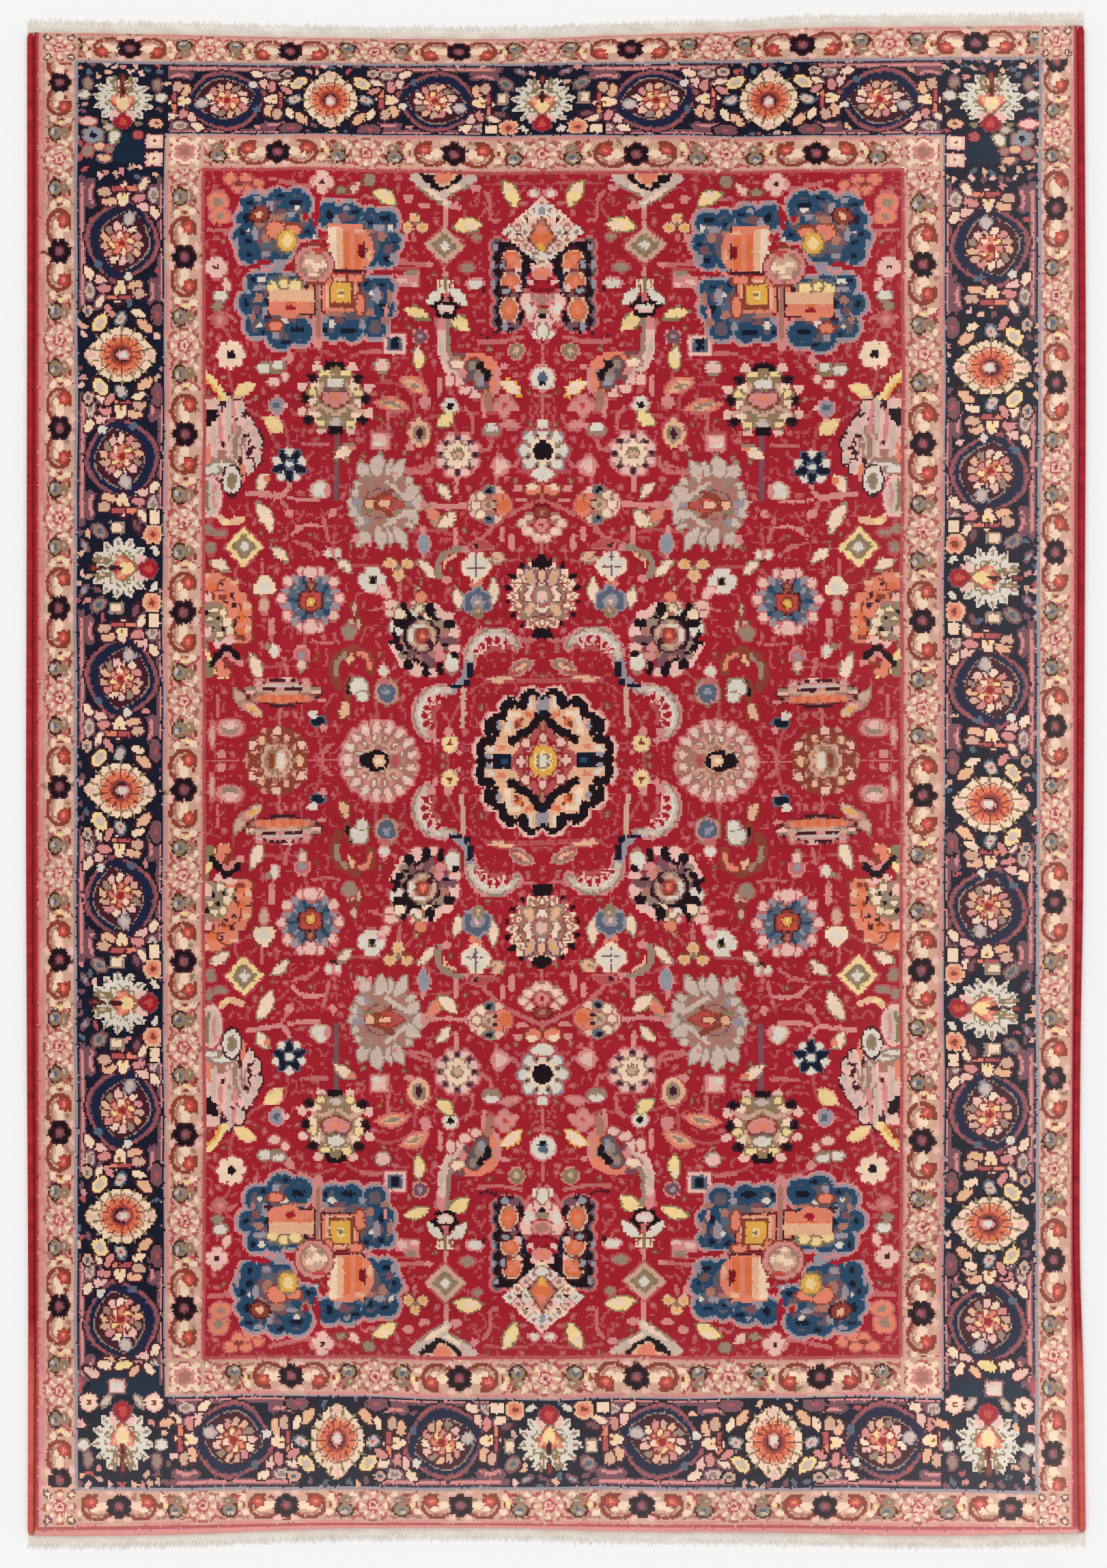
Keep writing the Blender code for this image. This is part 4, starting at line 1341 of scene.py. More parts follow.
def lancet(hand):
    """A close flower of many petals in a dark ring, inside a loop of the vine. Its tip is up."""
    loop = hand.at(0, -78)
    loop.lay(leaf(166, 146), black=3, mauve=0, rosewood=-3)
    loop.lay(leaf(166, 146), mauve=-6, indigo=-10)
    hand.at(5, -56).lay(leaf(122, 98), taupe=0, maroon=-2)
    for k, petal in enumerate(hand.around(13, 31)):
        dye = ("pale_pink", "cream", "rose", "tan", "peach", "taupe")[k % 6]
        petal.lay(oval(8, 11), maroon=1, **{dye: 0})
    for k, petal in enumerate(hand.around(8, 15, first=20)):
        petal.lay(oval(6, 8), rust=1, **{("salmon", "butter", "rose", "cream")[k % 4]: 0})
    hand.at(4, 34).lay(leaf(30, 26, belly=0.5), maroon=1, blue_grey=0, stone=-4)
    hand.lay(oval(9), salmon=1, rust=-1, crimson=-4)
    spots(hand, ivory=[(26, -58, 8)], steel=[(-34, -50, 9, 7)])


def beads(hand, points, dyes="cream butter peach", wide=9):
    """A chain of leaves that follows the points, each with a dark outline."""
    dyes = dyes.split()
    for k, (x, y, turn, length) in enumerate(points):
        hand.at(x, y, turn).lay(oval(wide, length), maroon=3, **{dyes[k % len(dyes)]: 0})


def beside_lancet(hand):
    """The leaves that fill the ground on one side of a lancet's loop, along x from it."""
    stems(
        hand, mauve=(20, [(74, -60), (92, -63), (112, -60)]),
        rose=(6, [(76, -57), (92, -60), (108, -56)]),
    )
    beads(hand, [(80, -24, 8, 15), (96, -32, 0, 13)], "peach tan")
    hand.at(92, 4, 84).lay(oval(11, 22), maroon=3, cream=0, butter=-5, rust=-9)
    beads(hand, [(70, 42, -25, 15), (58, 64, -60, 13), (86, 34, 10, 13)], "pale_pink cream rose", 8)
    hand.at(103, 18).lay(box(4, 18), maroon=2, salmon=0)
    hand.at(103, -6).lay(box(4, 12), maroon=2, rosewood=0)
    hand.at(92, 62, 90).lay(oval(9, 15), mauve=3, stone=0, taupe=-4)
    hand.at(112, 42, 60).lay(oval(7, 13), mauve=2, cream=0)


def palmette_flanks(hand):
    """Buds on one side of a white palmette, along x from it."""
    hand.at(76, 8).lay(box(11, 14), taupe=0, cream=-4)
    hand.at(70, 42, 40).lay(oval(11, 16), mauve=2, taupe=-1, steel=-6)
    hand.at(64, -62).lay(lobed(6, 17, 21), maroon=2, peach=-1, salmon=-7, rust=-14)
    hand.at(34, -66, 60).lay(oval(7, 12), black=2, ivory=-1)
    hand.at(98, -64).lay(box(12, 10), black=4, cream=0)
    hand.at(80, -30, 70).lay(oval(7, 14), maroon=2, mauve=-1)
    hand.at(42, 70, 60).lay(oval(6, 12), mauve=1, lilac=-2)


def rosette_flanks(hand):
    """Leaves on one side of an orange rosette, along x from it."""
    hand.at(68, 2, -70).lay(oval(11, 17), black=2, steel=0, stone=-3, coral=-9)
    hand.at(60, 42, -50).lay(oval(12, 19), maroon=3, butter=0, stone=-5)
    hand.at(56, -44, 40).lay(oval(9, 17), maroon=3, peach=0)
    hand.at(84, 24, 60).lay(oval(7, 14), black=2, rose=0)
    hand.at(82, 66).lay(oval(12, 9), black=2, tan=0, steel=-5)
    hand.at(78, -32, 20).lay(oval(7, 14), black=3, cream=0)
    hand.at(76, -68, 90).lay(oval(13, 22), black=2, mauve=0, rosewood=-9)


def draw_main_border(hand, palmettes, rosettes, lancets):
    """The main border along x, its outer side up. Each list gives the places of one motif."""
    flowers = sorted([*palmettes, *rosettes])
    for place in lancets:
        lower = max((f for f in flowers if f < place), default=place - 200)
        upper = min((f for f in flowers if f > place), default=place + 200)
        for flip, gap in ((False, upper - place), (True, place - lower)):
            side = hand.at(place, 0, flip=flip)
            for y in (76, -76):
                side.stroke([(0, y), (60, y), (gap * 0.6, y)], 14, "mauve")
                side.stroke([(0, y), (60, y), (gap * 0.55, y)], 4, "rose")
    for k, place in enumerate(lancets):
        odd = bool(k % 2)
        lancet(hand.at(place, 0, LANCET_TURN if odd else -LANCET_TURN))
        for turn in (180, 0) if odd else (0, 180):
            beside_lancet(hand.at(place, 0, turn, odd))
    for places, flanks, flower in (
        (palmettes, palmette_flanks, white_palmette),
        (rosettes, rosette_flanks, orange_rosette),
    ):
        for place in places:
            middle = hand.at(place, 0)
            for side in middle.both():
                flanks(side)
            flower(middle)


def border_corner(hand, upper):
    """A corner of the main border: a palmette, with small flowers on both sides of a bare patch
    at the upper corners, and under a chain of leaves at the lower ones. Up is outwards along
    the rug, and x is inwards across it."""
    hand.lay(box(86, 86), navy=0)
    hand.at(6, -112).lay(box(44 if upper else 66, 30), deep_teal=0)
    white_palmette(hand)
    hand.at(0, -28).lay(leaf(50, 28, belly=0.4), peach=0, cream=-3, butter=-7)
    hand.at(0, 4).lay(leaf(50, 14, belly=0.3), rust=0, maroon=-4)
    spots(hand, ivory=[(-74, 8, 10, 9), (74, 6, 10, 9)], edge="taupe")
    spots(hand, taupe=[(-66, 34, 8, 13), (66, 36, 8, 13)], edge="mauve")
    if upper:
        for x, y in ((62, -136), (62, -98)):
            hand.at(x, y).lay(box(15, 14), maroon=2, pale_pink=0, cream=-4, rust=-11)
        spots(hand, peach=[(64, -56, 14, 11)], edge="maroon")
        spots(hand, rust=[(64, -56, 4), (-64, -54, 5, 3)])
        hand.at(30, -84).lay(oval(10), maroon=2, rosewood=0)
        hand.at(-16, -90, 20).lay(oval(9, 14), olive=2, ivory=0)
        spots(hand, stone=[(-26, -68, 7)], edge="olive")
        spots(hand, olive=[(30, -58, 8, 6), (-34, -56, 7, 5)])
        hand.at(-56, -88).lay(lobed(6, 16, 20), mauve=2, taupe=0, blue_grey=-3, navy=-12)
        spots(hand, pale_pink=[(-66, -56, 15, 9)], edge="rosewood")
        spots(hand, peach=[(-44, -112, 10, 9), (-34, -136, 12, 8)], edge="mauve")
        spots(hand, taupe=[(-66, -122, 10, 12), (-24, -116, 7)], edge="rosewood")
    else:
        for x in (-64, 61):
            hand.at(x, -70).lay(lobed(6, 14, 18), maroon=2, pale_pink=0, cream=-4, rust=-12)
        hand.pair(31, -72, oval(6, 12), turn=35, taupe=1, stone=-1)
        hand.at(-10, -100).lay(box(15, 13), mauve=3, pale_pink=0, ivory=-5)
        chain = [(-58, -128, 55, 17), (-30, -142, 80, 18), (2, -142, 105, 18)]
        beads(hand, chain, "pale_pink cream butter")
        beads(hand, [(24, -130, 140, 14), (52, -136, 30, 13)], "peach cream", 7)
        hand.at(-84, -106).lay(oval(7, 16), mauve=2, rosewood=0)
        hand.at(-88, -32, 75).lay(oval(8, 18), maroon=2, pale_pink=0, rose=-4)
        hand.at(84, -34, -70).lay(oval(7, 14), maroon=2, peach=0)


def draw_borders(chart):
    """All bands round the field, drawn from the outside inwards."""
    hand = Hand(chart)
    chart.strip(CHART_LEFT, CHART_BOTTOM, CHART_RIGHT, CHART_TOP, "crimson")
    chart.strip(CHART_LEFT, CHART_BOTTOM, CHART_RIGHT, CHART_BOTTOM + 9, "rose")
    chart.strip(CHART_LEFT, CHART_BOTTOM + 9, CHART_RIGHT, -OUTER_Q, "rosewood")
    chart.strip(-PINK_P, -OUTER_Q, PINK_P, CHART_TOP, "rosewood")
    chart.strip(-PINK_P + 3, -OUTER_Q, PINK_P - 3, CHART_TOP, "rose")
    chart.strip(-OUTER_P, -OUTER_Q, OUTER_P, CHART_TOP, "tan")

    p, q = (MAIN_P + OUTER_P) / 2 + 1, (MAIN_Q + OUTER_Q) / 2 + 1
    draw_guards(
        hand, p, q, inner=False,
        left=(-1352, -1026, -700, -375, -49, 289, 629, 963, 1316),
        right=(-1296, -938, -597, -265, 66, 396, 718, 1048, 1360),
        top=(-780, -468, -158, 160, 484, 793), bottom=(-814, -492, -157, 181, 512, 848),
    )
    for across, up in CORNERS:
        corner = hand.at(across * p, up * q)
        corner.lay(box(36, 36), tan=0)
        guard_pale_flower(corner)
        corner.ring(4, 34, oval(6, 8), first=45, mauve=1, cream=-2)
    chart.strew("tan", 15, 5.5, guard_filling, 31)

    chart.band(MAIN_P + 5, MAIN_Q + 5, "lilac")
    chart.band(MAIN_P, MAIN_Q, "navy")
    p, q = (INNER_P + MAIN_P) / 2, (INNER_Q + MAIN_Q) / 2
    for side, palmettes, rosettes, lancets in (
        (hand.at(-p, 0, -90), (-454, 365), (-855, -55, 769), (-1050, -657, -252, 154, 577, 981)),
        (hand.at(p, 0, 90), (-347, 465), (-746, 81, 871), (-973, -549, -134, 273, 664, 1055)),
        (hand.at(0, q), (0,), (-407, 407), (-605, -205, 205, 605)),
        (hand.at(0, -q, 180), (-12,), (-419, 395), (-617, -217, 193, 593)),
    ):
        draw_main_border(side, palmettes, rosettes, lancets)
    for across, up in CORNERS:
        border_corner(hand.at(across * p, up * q).stretched(-across, up), up > 0)
    chart.strew("navy", 16, 6.5, border_filling, 32)

    chart.band(INNER_P + 9, INNER_Q + 9, "navy")
    chart.band(INNER_P + 5, INNER_Q + 5, "lilac")
    chart.band(INNER_P, INNER_Q, "tan")
    p, q = (FIELD_P + INNER_P) / 2 + 2, (FIELD_Q + INNER_Q) / 2 + 2
    draw_guards(
        hand, p, q, inner=True,
        left=(-1028, -702, -376, -53, 283, 620, 955), right=(-1040, -716, -396, -66, 265, 601, 941),
        top=(-508, -169, 170, 494), bottom=(-504, -172, 158, 482),
    )
    for across, up in CORNERS:
        corner = hand.at(across * p, up * q)
        corner.lay(box(36, 36), tan=0)
        corner.lay(lobed(6, 22, 30), rosewood=1, cream=-1, rose=-8, clay=-16)
        corner.ring(4, 32, oval(6, 8), first=45, cream=0)
    chart.strew("tan", 15, 5.5, guard_filling, 33)
    chart.band(FIELD_P + 4, FIELD_Q + 4, "rosewood")


def slip_knots(dyes):
    """Here and there a knot takes the dye of the one beside it, as in hand work."""
    chance = np.random.default_rng(5)
    for rows, columns in ((0, 1), (0, -1), (1, 0), (-1, 0)):
        beside = np.roll(dyes, (rows, columns), (0, 1))
        slipped = chance.random(dyes.shape) < 0.05
        dyes[slipped] = beside[slipped]


def draw_chart():
    """The whole chart: the borders, and the field's quarter mirrored to all four."""
    chart = Chart(CHART_LEFT, CHART_BOTTOM, CHART_RIGHT, CHART_TOP, "crimson")
    draw_borders(chart)
    quarter = draw_field()
    columns = np.flatnonzero(np.abs(chart.p) < FIELD_P)
    rows = np.flatnonzero(np.abs(chart.q) < FIELD_Q)
    from_column = (np.abs(chart.p[columns]) / KNOT).astype(int)
    from_row = (np.abs(chart.q[rows]) / KNOT).astype(int)
    chart.dyes[np.ix_(rows, columns)] = quarter[np.ix_(from_row, from_column)]
    slip_knots(chart.dyes)
    return chart


# ---------------------------------------------------------------- end of the chart

HALF_WIDTH, HALF_LENGTH = 0.98, 1.42  # of the pile, metres


def edge_line(points):
    """A function that reads an edge's reach at one place or at many."""
    end = 1.46  # metres, past the end of the longest edge
    places = np.linspace(-end, end, 600)
    reaches = np.array([edge_at(points, place) for place in places])
    return lambda place: np.interp(place, places, reaches)


left_x, right_x = edge_line(LEFT_EDGE), edge_line(RIGHT_EDGE)
top_y, bottom_y = edge_line(TOP_EDGE), edge_line(BOTTOM_EDGE)


def between_lines(value, lines, share, low, low_reach, high, high_reach):
    """Where a place on the chart falls on the rug, between the band lines and the two edges. share
    is how far along the lines it lies, from 0 to 1."""
    stops = np.array([low, *(line.chart for line in lines), high], float)
    reaches = [low_reach]
    for line in lines:
        reaches.append(np.interp(share, np.linspace(0, 1, len(line.reaches)), line.reaches))
    reaches = np.array([*reaches, high_reach])
    i = np.clip(np.searchsorted(stops, value) - 1, 0, len(stops) - 2)
    t = (value - stops[i]) / (stops[i + 1] - stops[i])
    start = np.take_along_axis(reaches, i[None], 0)[0]
    end = np.take_along_axis(reaches, i[None] + 1, 0)[0]
    return start + (end - start) * t


def on_rug(p, q):
    """Where places on the chart lie on the rug, with the slight drift of hand knotting, which
    dies away at the edges. The lines bend along the rug, so a place is found in three rounds."""
    x, y = p / 1000, q / 1000
    for _ in range(3):
        low, high = left_x(y) + CORD_WIDTH + GAP, right_x(y) - CORD_WIDTH - GAP
        up = np.clip((y + HALF_LENGTH) / (2 * HALF_LENGTH), 0, 1)
        across = np.clip((x + HALF_WIDTH) / (2 * HALF_WIDTH), 0, 1)
        x, y = (
            between_lines(p, LINES_ACROSS, up, CHART_LEFT, low, CHART_RIGHT, high),
            between_lines(q, LINES_ALONG, across, CHART_BOTTOM, bottom_y(x), CHART_TOP, top_y(x)),
        )
    fade, sideways, lengthways = 0.08, 0.0016, 0.0022
    inside = np.clip((0.97 - np.abs(x)) / fade, 0, 1) * np.clip((1.39 - np.abs(y)) / fade, 0, 1)
    drift_x = np.sin(y * 9.1 + 1.3) * 0.6 + np.sin(y * 23.7 + x * 3.0) * 0.4
    drift_y = np.sin(x * 11.3 + 0.4) * 0.6 + np.sin(x * 27.1 - y * 4.0) * 0.4
    return x + drift_x * inside * sideways, y + drift_y * inside * lengthways


# ---------------------------------------------------------------- nodes


def both_ways(operation):
    """The method of an operator, and its reflected form."""

    def forward(self, other):
        return self.math(operation, self, other)

    def reflected(self, other):
        return self.math(operation, other, self)

    return forward, reflected


class Wire:
    """A value in a node tree, which arithmetic works on."""

    def __init__(self, tree, socket):
        self.tree, self.socket = tree, socket

    def math(self, operation, *values):
        return self.tree.node("ShaderNodeMath", {"operation": operation}, dict(enumerate(values)))

    __add__, __radd__ = both_ways("ADD")
    __sub__, __rsub__ = both_ways("SUBTRACT")
    __mul__, __rmul__ = both_ways("MULTIPLY")
    __truediv__, __rtruediv__ = both_ways("DIVIDE")
    __pow__, __rpow__ = both_ways("POWER")
    __mod__, __rmod__ = both_ways("MODULO")
    __gt__, __lt__ = both_ways("GREATER_THAN")

    def floor(self):
        return self.math("FLOOR", self)

    def sine(self):
        return self.math("SINE", self)

    def size(self):
        return self.math("ABSOLUTE", self)

    def at_most(self, other):
        return self.math("MINIMUM", self, other)

    def at_least(self, other):
        return self.math("MAXIMUM", self, other)


class Tree:
    """Builds a node tree."""

    def __init__(self, nodes, links):
        self.nodes, self.links = nodes, links

    def node(self, kind, settings=None, inputs=None, output=0):
        """Adds a node: its settings first, then its inputs. Returns one output, by name or number,
        or every output where output is None."""
        node = self.nodes.new(kind)
        for name, value in (settings or {}).items():
            setattr(node, name, value)
        for name, value in (inputs or {}).items():
            if isinstance(value, Wire):
                self.links.new(value.socket, node.inputs[name])
            else:
                node.inputs[name].default_value = value
        if output is None:
            return {socket.name: Wire(self, socket) for socket in node.outputs}
        return Wire(self, node.outputs[output])

    def place(self):
        return self.node("ShaderNodeTexCoord", None, None, "Object")

    def part(self, vector, axis):
        """One of a vector's three numbers."""
        return self.node("ShaderNodeSeparateXYZ", None, {0: vector}, axis)

    def mixed(self, factor, first, second):
        """A colour between two others."""
        return self.node("ShaderNodeMix", {"data_type": "RGBA"}, {0: factor, 6: first, 7: second}, 2)

    def tinted(self, colour, factor):
        """A colour made lighter or darker."""
        return self.node("ShaderNodeVectorMath", {"operation": "SCALE"}, {0: colour, 3: factor})

    def noise(self, place, scale, stretch=(1.0, 1.0, 1.0), detail=2.0):
        """Noise on a place, from 0 to 1, with finer grain along an axis of greater stretch."""
        drawn = self.node("ShaderNodeMapping", None, {"Vector": place, "Scale": stretch})
        inputs = {"Vector": drawn, "Scale": scale, "Detail": detail}
        return self.node("ShaderNodeTexNoise", None, inputs, "Fac")

    def coat(self, shader, colour, strength, depth, height):
        """Gives the shader its colour, and its yarn's relief as a bump."""
        bump = {"Strength": strength, "Distance": depth, "Height": height}
        self.links.new(colour.socket, shader.inputs["Base Color"])
        self.links.new(self.node("ShaderNodeBump", None, bump).socket, shader.inputs["Normal"])


def linear(colour):
    """An sRGB colour, 0 to 255, as the shader wants it."""
    share = [c / 255 for c in colour]
    return (*(c / 12.92 if c <= 0.04045 else ((c + 0.055) / 1.055) ** 2.4 for c in share), 1.0)


def finish_tree(name, roughness, sheen=0.0, specular=0.2):
    """A new material, its Principled shader and its tree."""
    material = bpy.data.materials.new(name)
    material.use_nodes = True
    shader = material.node_tree.nodes["Principled BSDF"]
    shader.inputs["Roughness"].default_value = roughness
    shader.inputs["Sheen Weight"].default_value = sheen
    shader.inputs["Specular IOR Level"].default_value = specular
    return material, shader, Tree(material.node_tree.nodes, material.node_tree.links)


def knotted_wool(name, strength):
    """Reads each knot's dye from the chart numbers packed on the mesh's faces, and gives the wool its
    unevenness. Its colour is made paler and hazier towards the rug's lower right."""
    material, shader, tree = finish_tree(name, roughness=0.92, sheen=0.05, specular=0.12)
    in_block = tree.node("ShaderNodeUVMap", {"uv_map": "knots"})
    column = tree.part(in_block, "X").floor().at_least(0).at_most(BLOCK - 1)
    row = tree.part(in_block, "Y").floor().at_least(0).at_most(BLOCK - 1)
    rows = [
        tree.node("ShaderNodeAttribute", {"attribute_name": CHART_ROW.format(k)}, None, "Fac")
        for k in range(BLOCK)
    ]
    lower = rows[0] + (rows[1] - rows[0]) * (row > 0.5)
    upper = rows[2] + (rows[3] - rows[2]) * (row > 2.5)
    packed = lower + (upper - lower) * (row > 1.5)
    dye = ((packed + 0.5) * PACKING ** (0 - column)).floor() % PACKING
    ramp = tree.nodes.new("ShaderNodeValToRGB")
    ramp.color_ramp.interpolation = "CONSTANT"
    stops = ramp.color_ramp.elements
    for number, colour in enumerate(DYES.values()):
        stop = stops[number] if number < 2 else stops.new(number / PACKING)
        stop.position = number / PACKING
        stop.color = linear(colour)
    tree.links.new(((dye + 0.5) / PACKING).socket, ramp.inputs[0])

    place = tree.place()
    grain = tree.noise(place, 260, detail=1.0)
    tufts = tree.noise(place, 42, (1.0, 1.6, 1.0))
    abrash = tree.noise(place, 3.0, (0.5, 9.0, 1.0), 3.0)
    worn = tree.noise(place, 2.2)
    shade = 1.0 + (grain - 0.5) * 0.28 + (tufts - 0.5) * 0.22
    shade = shade + (abrash - 0.5) * 0.34 + (worn - 0.5) * 0.2
    # The colour is made paler and hazier towards the rug's lower right.
    to_right, to_bottom = tree.part(place, "X") - 0.5, -1.0 - tree.part(place, "Y")
    paler = (to_right * 0.1).at_least(0) + (to_bottom * 0.14).at_least(0)
    colour = tree.tinted(Wire(tree, ramp.outputs[0]), shade * (1.0 + paler * 3.4))
    colour = tree.mixed(paler, colour, linear((228, 220, 214)))
    tree.coat(shader, colour, strength, 0.0012, grain + tufts * 0.6)
    return material


def spun_yarn(name, dark, light, roughness, pitch=None, low_colour=None):
    """Plain yarn, mottled between two colours. With pitch it has ridges across its length, and
    with low_colour it changes towards that dye at the rug's bottom end."""
    material, shader, tree = finish_tree(name, roughness, sheen=0.08, specular=0.15)
    place = tree.place()
    coarse = tree.noise(place, 24, (1.0, 2.0, 1.0), 3.0)
    fine = tree.noise(place, 500, detail=1.0)
    mottle = ((coarse * 0.7 + fine * 0.3 - 0.5) * 2.4 + 0.5).at_least(0).at_most(1)
    colour = tree.mixed(mottle, linear(dark), linear(light))
    if low_colour:
        low = ((-1.02 - tree.part(place, "Y")) * 9.0).at_least(0).at_most(1)
        colour = tree.mixed(low, colour, tree.mixed(mottle, *map(linear, low_colour)))
    height = fine * 0.5 + coarse * 0.2
    if pitch:
        height = height + (tree.part(place, "X") * (math.pi / pitch)).sine().size()
    tree.coat(shader, colour, 0.4, 0.0008, height)
    return material


def plain(name, colour, roughness):
    material, shader, _ = finish_tree(name, roughness)
    shader.inputs["Base Color"].default_value = linear(colour)
    return material


# ---------------------------------------------------------------- the knotted body


def packed_rows(dyes):
    """For every mesh face, its four rows of four knots, each row packed as one number."""
    rows, columns = dyes.shape[0] // BLOCK, dyes.shape[1] // BLOCK
    blocks = dyes.reshape(rows, BLOCK, columns, BLOCK).astype(np.int64)
    return (blocks * PACKING ** np.arange(BLOCK)).sum(axis=3).transpose(1, 0, 2)


def grid_lines(first, last, whole, rim):
    """Places of a tile's grid lines, in blocks, with close ones where the rug's edge is rounded."""
    lines = [float(k) for k in range(first, last + 1)]
    if first == 0:
        lines += rim
    if last == whole:
        lines += [whole - r for r in rim]
    return np.array(sorted(lines))


def put(name, data):
    """A new object in the scene."""
    thing = bpy.data.objects.new(name, data)
    bpy.context.scene.collection.objects.link(thing)
    return thing


def add_mesh(name, vertices, faces, material):
    mesh = bpy.data.meshes.new(name)
    mesh.from_pydata(vertices, [], faces)
    mesh.materials.append(material)
    return put(name, mesh)


def knotted_slab(name, chart_rows, columns, rows, heights, material, face_up=True):
    """A closed slab of the rug's body whose patterned side carries the chart. columns and rows
    are its first and last blocks, and heights are its plain side's and its patterned side's."""
    u = grid_lines(*columns, BLOCKS_ACROSS, RIM_LINES if face_up else [])
    v = grid_lines(*rows, BLOCKS_ALONG, RIM_LINES if face_up else [])
    block_u = np.floor((u[:-1] + u[1:]) / 2).astype(int)
    block_v = np.floor((v[:-1] + v[1:]) / 2).astype(int)
    grid_u, grid_v = np.meshgrid(u, v)
    x, y = on_rug(CHART_LEFT + grid_u * FACE, CHART_BOTTOM + grid_v * FACE)
    base, patterned = heights
    z = np.full(x.shape, patterned)
    if face_up:
        from_edge = np.minimum(
            np.minimum(grid_u, BLOCKS_ACROSS - grid_u), np.minimum(grid_v, BLOCKS_ALONG - grid_v)
        )
        fall = np.clip(1 - from_edge * FACE / 1000 / PILE_ROUNDING, 0, 1)
        z -= PILE_ROUNDING * (1 - np.sqrt(1 - fall**2))
        lie = 0.5 + 0.5 * np.sin(x * 17 + 1) * np.sin(y * 21)
        z -= PILE_UNEVEN * lie * np.clip(from_edge, 0, 1)

    # The patterned side's vertices row by row, then the plain side's round the rim.
    across, along = len(u), len(v)
    count = across * along
    number = np.arange(count).reshape(along, across)
    ring = [*number[0, :-1], *number[:-1, -1], *number[-1, :0:-1], *number[:0:-1, 0]]
    rounds = len(ring)
    vertices = np.column_stack([x.ravel(), y.ravel(), z.ravel()])
    below = vertices[ring].copy()
    below[:, 2] = base
    vertices = np.vstack([vertices, below])

    tops = np.stack([number[:-1, :-1], number[:-1, 1:], number[1:, 1:], number[1:, :-1]], axis=-1)
    tops = tops.reshape(-1, 4).tolist()
    walls = [
        (ring[(k + 1) % rounds], ring[k], count + k, count + (k + 1) % rounds)
        for k in range(rounds)
    ]
    faces = [*map(tuple, tops), *walls, tuple(range(count, count + rounds))[::-1]]
    if not face_up:
        faces = [face[::-1] for face in faces]
    piece = add_mesh(name, vertices.tolist(), faces, material)
    mesh = piece.data

    # Each face's block, and its corners' places in the block. A wall takes the knots beside it.
    vertex_u, vertex_v = grid_u.ravel(), grid_v.ravel()
    wall_columns, wall_rows = [], []
    for a, b in zip(ring, [*ring[1:], ring[0]]):
        wall_columns.append(min(int((vertex_u[a] + vertex_u[b]) / 2), BLOCKS_ACROSS - 1))
        wall_rows.append(min(int((vertex_v[a] + vertex_v[b]) / 2), BLOCKS_ALONG - 1))
    face_columns = np.concatenate([np.tile(block_u, along - 1), wall_columns, [columns[0]]])
    face_rows = np.concatenate([np.repeat(block_v, across - 1), wall_rows, [rows[0]]])
    for k in range(BLOCK):
        layer = mesh.attributes.new(CHART_ROW.format(k), "FLOAT", "FACE")
        layer.data.foreach_set("value", chart_rows[k][face_rows, face_columns].astype(np.float32))

    corners = np.empty(len(mesh.loops), np.int32)
    mesh.loops.foreach_get("vertex_index", corners)
    owner = np.repeat(np.arange(len(faces)), [len(face) for face in faces])
    all_u = np.concatenate([vertex_u, vertex_u[ring]])
    all_v = np.concatenate([vertex_v, vertex_v[ring]])
    knots_u = np.clip((all_u[corners] - face_columns[owner]) * BLOCK, 0, BLOCK)
    knots_v = np.clip((all_v[corners] - face_rows[owner]) * BLOCK, 0, BLOCK)
    add_map(mesh, "knots", np.column_stack([knots_u, knots_v]))
    add_map(mesh, "OFBake", bake_places(vertices, ring, corners, owner, len(tops)))
    mesh.uv_layers.active = mesh.uv_layers["OFBake"]
    mesh.update()
    return piece


def add_map(mesh, name, places):
    layer = mesh.uv_layers.new(name=name)
    layer.data.foreach_set("uv", places.ravel().astype(np.float32))


def bake_places(vertices, ring, corners, owner, tops):
    """A flat map of a slab: its patterned side nearly fills the square, its walls run along the
    left and lower margins, and its plain side is a small patch in the corner."""
    rounds = len(ring)
    count = len(vertices) - rounds
    margin, span = 0.08, 0.91  # as shares of the map's side, as are the sizes below
    patch, patch_span = 0.005, 0.02
    near_strip, far_strip, strip_width = 0.032, 0.052, 0.012
    low, high = vertices[:, :2].min(0), vertices[:, :2].max(0)
    flat = (vertices[corners][:, :2] - low) / (high - low)
    places = margin + flat * span
    is_wall = (owner >= tops) & (owner < tops + rounds)
    is_plain = owner == tops + rounds
    places[is_plain] = patch + flat[is_plain] * patch_span

    # A wall's face runs along the side that it lies on. Opposite sides have a strip each.
    step = owner[is_wall] - tops
    after = (corners[is_wall] == np.array(ring)[(step + 1) % rounds]) | (
        corners[is_wall] == count + (step + 1) % rounds
    )
    lower = corners[is_wall] >= count
    ring_places = (vertices[ring][:, :2] - low) / (high - low)
    here = ring_places[np.where(after, (step + 1) % rounds, step)]
    start, end = ring_places[step], ring_places[(step + 1) % rounds]
    runs_up = np.abs(end[:, 1] - start[:, 1]) > np.abs(end[:, 0] - start[:, 0])
    middle = (start + end) / 2
    far = np.where(runs_up, middle[:, 0], middle[:, 1]) > 0.5
    across_strip = np.where(far, far_strip, near_strip) + np.where(lower, strip_width, 0.0)
    along_strip = margin + np.where(runs_up, here[:, 1], here[:, 0]) * span
    places[is_wall] = np.where(
        runs_up[:, None],
        np.column_stack([across_strip, along_strip]),
        np.column_stack([along_strip, across_strip]),
    )
    return places


